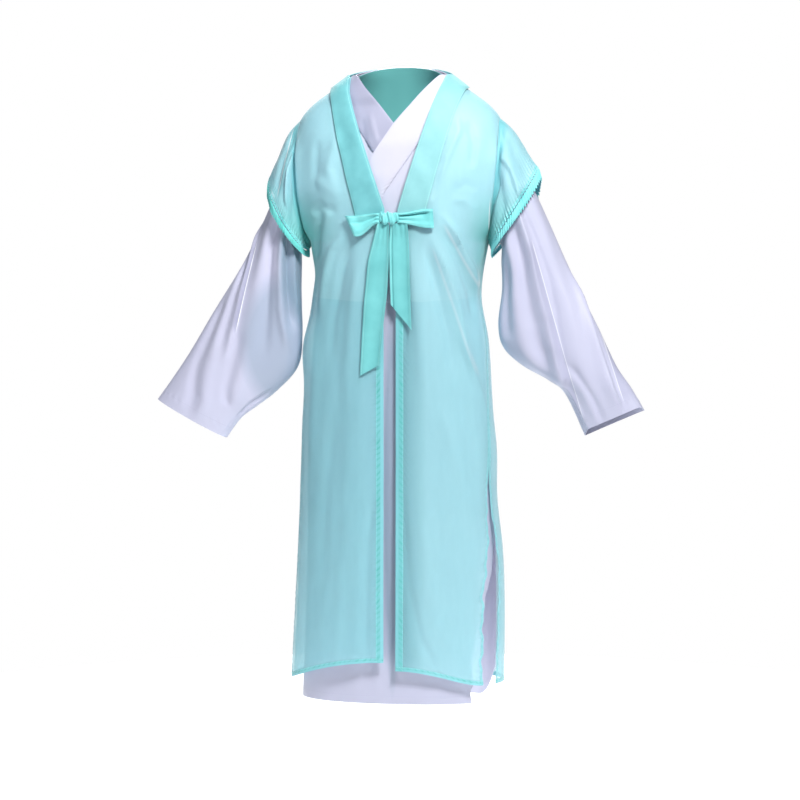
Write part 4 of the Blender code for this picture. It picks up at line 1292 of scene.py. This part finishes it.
def skirt(face):
    z = levels(WAIST_BOTTOM, ROBE_HEM, 0.0070)
    widths = ROBE_FRONT_SLITS if face == "front" else ROBE_BACK_SLITS
    slits = {side: slit_reach(z, ROBE_SLIT, ROBE_HEM, width) for side, width in widths.items()}
    if face == "front":
        start, end = (side_angle(np.maximum(HALF_SEAM, slits[side]), z, ROBE, side, face)
                      for side in SIGN)
        angles, heights, near, _ = rows_on_form(z, start, end, ROBE, PLAIN_EDGE, PLAIN_EDGE, 56)
    else:
        angles, heights, near, _ = back_grid(z, ROBE, ROBE_ARMHOLE, 56, slits)
        share = (angles - angles[:, :1]) / (angles[:, -1:] - angles[:, :1])
        corners = ease(np.abs(2.0 * share - 1.0) * 2.5 - 1.5)
        heights = heights + ROBE_CORNER_RISE * corners * ease((-0.900 - heights) / 0.285)
    gathers = puckers(WAIST - heights, near, f"{face} waist")
    return lay(angles, heights, ROBE - tapered(angles, heights), robe_lift, gathers)


for side in SIGN:
    make_sheet(f"robe_front_{side}_satin", robe_front(side), satin)
for side in SIGN:
    make_sheet(f"robe_collar_{side}_satin", robe_collar(side), satin_collar[side])
make_sheet("robe_back_satin", robe_back(WAIST_TOP, 56, 0.0), satin)
neck_band = band_round_neck(ROBE, ROBE_ARMHOLE, robe_lift, 56)
make_sheet("robe_collar_back_satin", neck_band, satin_collar["left"], wall=BAND_WALL)
make_sheet("robe_skirt_front_satin", skirt("front"), satin_skirt)
make_sheet("robe_skirt_back_satin", skirt("back"), satin_behind)
make_sheet("neck_facing", robe_back(FACING_END, 50, FACING_IN)[:, 5:-5], facing)

# %% [markdown]
# ## Sleeves and caps
#
# A sleeve is a tube lofted through rings, from the armhole to the cuff. The robe's sleeves are
# wide, so the spare cloth falls into long folds that turn from the shoulder towards the lower
# edge. On each one a fold rolls over its neighbour with a sharp edge. The creases are drawn on the
# unrolled tube, where a line is a list of ring numbers and turns: 0 is the top, 90 the front.

# %% The rings of the tubes
# x and z of the outer side, x and z of the inner side, depth, y and sag
RINGS = {name: table(text) for name, text in {
    "cap_right": """
    215 -112 174 -324 66 6  0
    236 -158 177 -329 72 4  8
    251 -196 180 -333 73 2 18""",
    "cap_left": """
    216 -108 171 -324 66 6  0
    242 -148 174 -329 72 4 10
    262 -179 177 -333 73 2 22""",
    "hem_right": """
    251.4 -197.2 180.2 -334.5   73 2 19
    252.5   -210   180   -342 72.5 1 26""",
    "hem_left": """
    262.4 -180.2 177.2 -334.5   73 2 23
      268   -192   177   -342 72.5 1 31""",
    "sleeve_right": """
      207 -142 176 -304 53   6 0
      227 -190 186 -318 56   4 0
      240 -226 191 -350 54   2 0
    265.5 -285 191 -420 50   0 0
    294.5 -345 189 -495 46  -2 0
    326.5 -398 197 -555 43  -5 0
      364 -457 236 -601 40  -8 0
      409 -532 277 -632 36 -11 0
      443 -583 306 -654 32 -13 0
    469.5 -619 334 -692 28 -14 0""",
    "sleeve_left": """
    210 -136 176 -304 53   6 0
    234 -176 186 -318 56   4 0
    250 -208 193 -345 54   2 0
    285 -282 196 -405 50   0 0
    318 -356 189 -470 46  -2 0
    348 -418 199 -515 43  -5 0
    380 -479 235 -549 40  -8 0
    413 -548 286 -576 36 -11 0
    442 -590 318 -602 32 -13 0
    467 -631 355 -680 28 -14 0""",
}.items()}
TURN_SIZE, RING_SIZE = 0.00105, 0.052    # metres of cloth for a degree and for a ring, about


def ring_points(ring, side, turns):
    """Points round one ring."""
    x_out, z_out, x_in, z_in, depth, y, sag = ring
    across, down = np.cos(turns), np.sin(turns)
    x = SIGN[side] * ((x_out + x_in) / 2.0 + (x_out - x_in) / 2.0 * across)
    z = (z_out + z_in) / 2.0 + (z_out - z_in) / 2.0 * across
    return np.stack([x, y - depth * down, z - sag * np.abs(down) * (1.0 + across) / 2.0], axis=-1)


def armhole_ring(armhole, out, side, turns, own_lift):
    """The armhole's edge as a tube's first ring, a seam in from the panels."""
    z = armhole.top - (armhole.top - armhole.bottom) * (1.0 - np.cos(turns)) / 2.0
    reach = seam_reach(armhole, z)
    front, back = (side_angle(reach, z, out, side, face) for face in ("front", "back"))
    angles = np.where(np.sin(turns) >= 0.0, front, back)
    edge = lay(angles, z, out, own_lift, 0.0)
    towards = np.array((edge[0, 0], MID_Y, (armhole.top + armhole.bottom) / 2.0)) - edge
    towards /= np.linalg.norm(towards, axis=-1, keepdims=True)
    return edge + towards * SEAM + np.array((1.5 * SEAM * SIGN[side], 0.0, 0.0))


def smooth_rows(rings, places):
    """Rows at fractional places between rings, on smooth curves through them."""
    last = len(rings) - 1
    index = np.clip(places.astype(int), 0, last - 1)
    before, start = rings[np.maximum(index - 1, 0)], rings[index]
    end, after = rings[index + 1], rings[np.minimum(index + 2, last)]
    t = (places - index)[:, None, None]
    return curve(t, start, (end - before) / 2.0, end, (after - start) / 2.0)


Tube = namedtuple("Tube", "grid middle normal turns around along from_seam to_hem")


def make_tube(name, side, cells, places, armhole=None, out=0.0, own_lift=None):
    """A tube's points with their turns, ring numbers and distances to both ends."""
    turns = np.linspace(0.0, WHOLE_TURN, cells, endpoint=False)
    rings = [ring_points(ring, side, turns) for ring in RINGS[f"{name}_{side}"]]
    if armhole:
        rings = [armhole_ring(armhole, out, side, turns, own_lift)] + rings
    grid = smooth_rows(np.array(rings), places)
    middle = grid.mean(axis=1, keepdims=True)
    gone = run_lengths(grid, 0)
    return Tube(grid, middle, facing_out(grid, True, middle), turns,
                *np.meshgrid(np.degrees(turns), places), gone, gone[-1:] - gone)


def tube_creases(text):
    """Creases on a tube, whose places are pairs of ring number and turn."""
    return [crease._replace(path=crease.path[:, ::-1] * (TURN_SIZE, RING_SIZE))
            for crease in creases(text, 1.0)]


def tube_lift(tube, drawn):
    """How far the creases lift a tube's points, also across the line where its turns start."""
    return sum(crease_lift((tube.around + whole) * TURN_SIZE, tube.along * RING_SIZE, drawn, 5.0)
               for whole in (-360.0, 0.0, 360.0))


def tube_ripple(tube, stretch, length, seed):
    """Soft waves on a tube, stretched along it."""
    return ripple(tube.around * TURN_SIZE, tube.along * RING_SIZE * stretch, length, seed) * 0.0005


print(f"{sum(len(rings) for rings in RINGS.values())} rings")

# %% Draw the creases of the sleeves
SLEEVE_CREASES = {
    "left": tube_creases("""
     22 10.5 0.72  2.4 73  4 74  5 76  6 80  7 95  8 121  9 158
    4.5 -1.6    0  2.8 62  4 58  5 56  6 66  7 85  8 112
     15  3.8    0  2.2 34  4 36  6 46  7 64  8 86  9 108  10.4 120
     16    6  0.8  5 4  6 12  7 27  8 42  9 60  10.5 78
     16    6  0.2  2.2 112  4 110  5 112  6 117  7 131  7.8 148
     13 -8.5    0  2.6 89  5 91  6 95  7 111  8 137
     14 -3.4    0  3.4 128  5 132  6 140
      8 -4.4    0  7.4 90  9 104  10.3 112
      7  2.2    0  8.4 138  9.4 146  10.4 148
     18    6  0.7  2.4 250  5 256  8 262  10.4 270
     14   -5    0  3 286  6 280  9 276
     14    4    0  2.4 318  5 312  8 306  10 304
     12 -3.6    0  3.4 226  6 222  8.6 214
"""),
    "right": tube_creases("""
    18  5.6 -0.88  3.8 9  4.4 18  5 36  6 53  7 73  7.6 82
     8   -6     0  4.2 4  5 22  6 40  7 60  7.6 72
    10 -3.6     0  6.2 24  7 34  8 49  9 74  10 88
    11  3.4     0  5 12  6 36  7 52  8 72  9 93  10.3 104
     8 -3.4     0  6.4 74  7 84  8 105  8.9 128
    14    4     0  2.4 48  4 54  5 63  6 75  7 97  8 118  9 140
     9   -5     0  2.6 68  4 71  5 85  6 99  6.8 114
    12  5.6   0.2  2.4 90  3.2 92  4 99  5 112  6 138
    14 -7.5     0  2.6 116  3.4 120  4.2 130  5.2 144
     7  2.6     0  2.8 136  3.6 142  4.6 154
     9 -3.4   0.5  7 158  8 152  9 160
    18   -5     0  2.4 246  5 252  8 262  10.4 268
    16  6.6  -0.7  3 276  6 284  9 288
    14  3.6     0  2.4 316  5 314  8 318  10 322
    12  3.6     0  3.4 228  6 220  8.6 216
""")}
print(f"{sum(len(rows) for rows in SLEEVE_CREASES.values())} creases on the sleeves")

# %% Sew on the robe's sleeves
def robe_sleeve(side):
    tube = make_tube("sleeve", side, 176, np.linspace(0.0, 10.0, 156), ROBE_ARMHOLE, ROBE, robe_lift)
    lift = 1.3 * tube_lift(tube, SLEEVE_CREASES[side]) + tube_ripple(tube, 0.5, 0.050, 61)
    lift *= ease(tube.along / 1.4) * (0.45 + 0.55 * ease(tube.to_hem / 0.050))
    # under the coat's cap the sleeve is pressed flat
    lift -= 0.0050 * ease(tube.along / 0.6) * ease(3.4 - tube.along)
    lift += puckers(tube.to_hem, tube.around * TURN_SIZE, "cuff")
    points = tube.grid + tube.normal * lift[..., None]
    if side == "left":     # the front edge of this cuff is a little shorter and shows the inside
        points[..., 2] += 0.0105 * ease(np.sin(tube.turns) * 1.6) * ease((tube.along - 8.6) / 1.4)
    return points, tube.middle


for side in SIGN:
    sleeve, middle = robe_sleeve(side)
    make_sheet(f"robe_sleeve_{side}_satin", sleeve, satin_sleeve[side], tube=True, middle=middle)

# %% [markdown]
# ## Cap sleeves and their gathered hems
#
# The coat's cap sleeves start deep in the fold beside the armhole. Their hems are a narrow strip
# of the dense cloth that the voile is gathered into, so little waves run up from the seam and
# across the strip. Each wave is made in the points: a bump map alone would leave a smooth edge.

# %% Sew on the caps
CAP_CREASES = {
    "left": tube_creases("""
    12    5 -0.7  0.4 64  1.6 58  3 66
    15   -6  0.3  0.1 100  1.2 84  2.6 100
    12 -2.8    0  0.3 30  1.6 34  3 30
    15  3.6    0  0.3 300  1.6 296  3 302
    15   -4    0  0.1 262  1.4 268  2.8 264
"""),
    "right": tube_creases("""
    11 6.6 0.8  0.2 58  1.2 66  2.2 92
    10  -4   0  0.1 40  1.4 44  2.6 60
    15  -5   0  0.1 96  1.4 108  2.6 124
    15 3.6   0  0.3 300  1.6 304  3 298
    15  -4   0  0.1 258  1.4 262  2.8 268
""")}
GATHERS, GATHER_SEED = 66, 71


def gather_waves(turns):
    """Uneven waves round a tube."""
    wander = ripple(np.cos(turns), np.sin(turns), 0.9, GATHER_SEED)
    strength = 0.62 + 0.38 * ripple(np.cos(turns), np.sin(turns), 0.5, GATHER_SEED + 1)
    return strength * np.cos(GATHERS * turns + 2.2 * wander)


def coat_cap(side):
    places = np.concatenate([np.linspace(0.0, 0.5, 12)[:-1], np.linspace(0.5, 3.0, 34)])
    tube = make_tube("cap", side, 330, places, COAT_ARMHOLE, COAT, coat_lift)
    lift = tube_lift(tube, CAP_CREASES[side]) * ease(tube.along / 0.8) * ease((3.2 - tube.along) / 0.6)
    dive = ease(tube.from_seam / 0.006) * bell(tube.from_seam - 0.008, 0.020)
    lift -= 0.0038 * dive * np.abs(np.sin(tube.turns)) ** 1.5
    lift += 0.0028 * np.exp(-tube.to_hem / 0.012) * gather_waves(tube.turns)
    lift += tube_ripple(tube, 1.0, 0.040, 72) * ease(tube.along)
    return tube.grid + tube.normal * lift[..., None], tube.middle


def cap_hem(side):
    tube = make_tube("hem", side, GATHERS * 8, np.linspace(0.0, 1.0, 9))
    across, waves = tube.along, gather_waves(tube.turns)
    slant = np.roll(waves, 3)
    lift = 0.0030 * ((1.0 - across) * waves + across * slant) + 0.0016 * np.sin(math.pi * across)
    points = tube.grid + tube.normal * lift[..., None]
    points[..., 2] -= 0.0032 * across * (slant + 1.0)
    return points, tube.middle


for side in SIGN:
    cap, middle = coat_cap(side)
    make_sheet(f"coat_cap_{side}_voile", cap, voile_cap, tube=True, middle=middle)
    hem, middle = cap_hem(side)
    make_sheet(f"coat_cap_hem_{side}_cloth", hem, gathered_cloth[side], tube=True, middle=middle)

# %% [markdown]
# ## The bow
#
# The tie is one ribbon: two loops, a knot wrapped round their middle and two ends that hang down,
# the wearer's right one longer. A ribbon squeezed by a knot gathers there and opens out towards
# its tip, so the loops are pinched grids whose creases fan out from the knot.

# %% Tie the loops
KNOT_HALF = (0.0185, 0.0075, 0.0115)
KNOT_CENTRE = (0.0, -0.1236, TIE)
# x and z of the tip's top corner, then of its bottom corner
LOOPS = {"left": (0.082, -0.2550, 0.084, -0.2900), "right": (0.084, -0.2680, 0.066, -0.3060)}
# The folds of each loop: height, place, slope, width, rate and end. The left loop rolls over a
# deep crease below its upper edge, the right one has a soft hollow through its middle.
LOOP_FOLDS = {"left": [(0.0040, 0.15, 0.06, 0.08, 5.0, 1.1), (-0.0055, 0.30, 0.12, 0.045, 6.0, 0.95)],
              "right": [(0.0028, 0.72, 0.0, 0.16, 4.0, 1.05), (-0.0026, 0.46, 0.10, 0.10, 4.0, 1.0)]}
FRONT_STAND, BACK_STAND, ROOT = 0.0135, 0.0050, 0.0090
LOOP_STATIONS, RIBBON = 46, 0.0010


def coat_depth(x, z):
    """Depth of the coat's front, creases left out."""
    return on_form(front_angle(x, z, COAT), z, COAT)[..., 1]


def loop_fold(v, t, place, slope, width, rate, end):
    """A fold along a loop, which starts after the knot and ends before the tip."""
    return bell(v - place + slope * t, width) * ease(t * rate) * ease((end - t) * 3.0)


def loop_grid(side):
    x_top, z_top, x_bottom, z_bottom = LOOPS[side]
    there = np.linspace(0.0, 1.0, LOOP_STATIONS)
    t = np.concatenate([there, there[::-1]])[:, None]
    back = np.repeat([0.0, 1.0], LOOP_STATIONS)[:, None]
    v = np.linspace(0.0, 1.0, 40)[None, :]
    start = KNOT_HALF[0] - 0.002
    root_z = TIE + ROOT * (1.0 - 2.0 * v)
    x = start + (x_top + v * (x_bottom - x_top) - start) * t
    z = root_z + (z_top + v * (z_bottom - z_top) - root_z) * ease(t * 1.15)
    bulge = 1.0 - 0.35 * np.sin(math.pi * t) * (1.0 - back)
    y = coat_depth(SIGN[side] * x, z) - np.where(back > 0.5, BACK_STAND, FRONT_STAND) * bulge
    y = y + (KNOT_CENTRE[1] - y) * ease((0.12 - t) / 0.12) * 0.5
    fan = 0.0022 * np.exp(-t * 2.6) * np.sin(WHOLE_TURN * (v * 2.6 + 0.15 * back)) * ease(t * 9.0)
    folds = sum(height * loop_fold(v, t, *fold) for height, *fold in LOOP_FOLDS[side])
    y = y - (fan + folds + 0.0008 * ripple(x, z, 0.024, 81)) * (1.0 - back)
    y = y + bell(1.0 - t, 0.045) * np.where(back > 0.5, -0.0030, 0.0030)
    return np.stack([SIGN[side] * x, y, z + 0.0 * y], axis=-1)


for side in SIGN:
    loop = loop_grid(side)
    half = 0.5 * (loop[:LOOP_STATIONS] + loop[:LOOP_STATIONS - 1:-1])
    make_sheet(f"bow_loop_{side}_ribbon", loop, bow_cloth, middle=np.concatenate([half, half[::-1]]),
               wall=RIBBON)

# %% Hang the ends
Tail = namedtuple("Tail", "first last z_first z_last seed")
# The x of each long edge at quarters of its length, and the heights of the end's two corners.
TAILS = {
    "right": Tail([-0.0215, -0.0400, -0.0475, -0.0525, -0.0560],
                  [0.0015, 0.0000, -0.0040, -0.0120, -0.0185], -0.5660, -0.5450, 86),
    "left": Tail([0.0030, 0.0010, 0.0010, 0.0015, 0.0030],
                 [0.0360, 0.0380, 0.0390, 0.0400, 0.0420], -0.4330, -0.4800, 84)}


def smooth_edge(t, quarters):
    """An edge through five places, with its corners rounded off."""
    edge = np.interp(t, np.linspace(0.0, 1.0, 5), quarters)
    for _ in range(12):
        edge[1:-1] = 0.5 * edge[1:-1] + 0.25 * (edge[:-2] + edge[2:])
    return edge


def tail_grid(side):
    tail = TAILS[side]
    t = np.linspace(0.0, 1.0, 110)[:, None]
    v = np.linspace(0.0, 1.0, 30)[None, :]
    top = KNOT_CENTRE[2] - KNOT_HALF[2] + 0.0020
    z = top + (tail.z_first + v * (tail.z_last - tail.z_first) - top) * t
    first, last = smooth_edge(t, tail.first), smooth_edge(t, tail.last)
    x = first + v * (last - first)
    flute = 0.0016 * np.sin(WHOLE_TURN * (v + 0.1)) * (1.0 - 0.5 * t)
    gathered = 0.0014 * np.exp(-t * 12.0) * np.sin(WHOLE_TURN * v * 3.4)
    sway = 0.0008 * ripple(z, x * 0.6, 0.055, tail.seed)
    curl = 0.0020 * bell(1.0 - v, 0.10) * ease(t * 3.0)
    stand = 0.0058 + 0.0035 * (1.0 - ease(t * 6.0)) + flute + gathered + sway + curl
    if side == "left":
        stand = stand - 0.0024 * bell(v - 0.10, 0.05)
    return np.stack([x, coat_depth(x, z) - stand, z], axis=-1)


for side in SIGN:
    make_sheet(f"bow_tail_{side}_ribbon", tail_grid(side), tie_cloth, wall=RIBBON)

# %% Wrap the knot
def knot_grid():
    """A ribbon wound round the middle of the loops, as a squashed barrel with slanting wraps."""
    turns = np.linspace(0.0, WHOLE_TURN, 96, endpoint=False)[None, :]
    across = np.linspace(-1.0, 1.0, 60)[:, None]
    profile = (1.0 - 0.86 * np.abs(across) ** 4.5) ** 0.5 * (1.0 - 0.10 * np.cos(across * math.pi))
    wraps = (0.0017 * np.sin(across * 8.5 + 1.9 * np.cos(turns))
             + 0.0008 * np.sin(across * 19.0 + 2.4 * np.cos(turns) + 0.6)
             - 0.0030 * bell(np.abs(across) - 0.72 + 0.10 * np.cos(turns), 0.10))
    x = KNOT_CENTRE[0] + KNOT_HALF[0] * across + 0.0016 * np.sin(turns)
    y = KNOT_CENTRE[1] - (KNOT_HALF[1] * profile + wraps * 0.7) * power(np.sin(turns), 0.8)
    z = KNOT_CENTRE[2] + (KNOT_HALF[2] * profile + wraps) * power(np.cos(turns), 0.8)
    return np.stack([x, y, z], axis=-1)


knot = knot_grid()
knot_middle = knot.mean(axis=1, keepdims=True)
make_sheet("bow_knot_ribbon", knot, bow_cloth, tube=True, middle=knot_middle, wall=RIBBON)

# %% [markdown]
# ## Handing the sheets over
#
# Every sheet stands for one solid of the frame and hides it. A sheet is named after its solid, with
# the kind of cloth added. The table of cuts gives the flat size that each piece of cloth was cut
# to and the cloth's own area, which differs where the cut isn't a rectangle.

# %% Say what each sheet stands for
# the sheet, its flat width, length and area, how it is held and the solid that it rests on
CUTS = """
    coat_front_left_voile     0.24  1.27  0.23   hung     robe_front_left
    coat_front_right_voile    0.26  1.25  0.245  hung     robe_front_right
    coat_back_voile           0.48  1.25  0.51   hung     robe_back
    coat_band_left_cloth      0.08  0.35  0.0155 laid     coat_front_left
    coat_band_right_cloth     0.08  0.35  0.0157 laid     coat_front_right
    coat_band_back_cloth      0.34  0.045 0.012  laid     coat_back
    coat_cap_left_voile       0.6   0.12  0.037  gathered coat_front_left
    coat_cap_right_voile      0.6   0.13  0.037  gathered coat_front_right
    coat_cap_hem_left_cloth   0.62  0.02  0.0068 gathered coat_cap_left
    coat_cap_hem_right_cloth  0.6   0.02  0.0062 gathered coat_cap_right
    robe_front_left_satin     0.32  0.51  0.11   hung     robe_front_right
    robe_front_right_satin    0.3   0.51  0.104  hung     robe_back
    robe_back_satin           0.44  0.51  0.167  hung     robe_front_left
    robe_collar_left_satin    0.095 0.54  0.03   laid     robe_front_left
    robe_collar_right_satin   0.095 0.53  0.028  laid     robe_front_right
    robe_collar_back_satin    0.305 0.045 0.0107 laid     robe_back
    robe_skirt_front_satin    0.465 0.78  0.326  hung     robe_front_left
    robe_skirt_back_satin     0.475 0.76  0.316  hung     robe_back
    robe_sleeve_left_satin    0.49  0.61  0.19   hung     robe_front_left
    robe_sleeve_right_satin   0.49  0.6   0.199  hung     robe_front_right
    neck_facing               0.41  0.37  0.105  laid     robe_back
    bow_knot_ribbon           0.07  0.055 0.0028 folded   coat_band_left
    bow_loop_left_ribbon      0.04  0.14  0.0041 folded   coat_front_left
    bow_loop_right_ribbon     0.043 0.14  0.0041 folded   coat_front_right
    bow_tail_left_ribbon      0.06  0.2   0.0078 hung     coat_front_left
    bow_tail_right_ribbon     0.05  0.29  0.0115 hung     coat_front_right
"""
for line in CUTS.strip().splitlines():
    name, *numbers, held, rests_on = line.split()
    solid, _, kind = name.rpartition("_")
    piece = bpy.data.objects[name]
    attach(piece, "root")
    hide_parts("neck_lining" if kind == "facing" else solid)
print(f"{len(CUTS.strip().splitlines())} sheets handed over")

# %% [markdown]
# ## The floor
#
# A round of pale paper lies a little below the hem. It glows faintly, as paper lit from elsewhere
# does, so it blends into the white room and sends some light up under the sleeves.

# %% Lay the floor
FLOOR_Z, FLOOR_RADIUS, FLOOR_SIDES = -1.30, 1.4, 96
paper = bpy.data.materials.new("pale floor")
paper.use_nodes = True
paper_shader = paper.node_tree.nodes["Principled BSDF"]
paper_shader.inputs["Base Color"].default_value = (0.96, 0.96, 0.96, 1.0)
paper_shader.inputs["Roughness"].default_value = 0.9
paper_shader.inputs["Emission Color"].default_value = WHITE
paper_shader.inputs["Emission Strength"].default_value = 0.50
rim = [(FLOOR_RADIUS * math.cos(turn), FLOOR_RADIUS * math.sin(turn), FLOOR_Z)
       for turn in np.linspace(0.0, WHOLE_TURN, FLOOR_SIDES, endpoint=False)]
floor_mesh = bpy.data.meshes.new("floor")
floor_mesh.from_pydata(rim, [], [tuple(range(FLOOR_SIDES))])
floor_mesh.materials.append(paper)
floor = bpy.data.objects.new("floor", floor_mesh)
scene.collection.objects.link(floor)
print(f"floor at {FLOOR_Z} m")
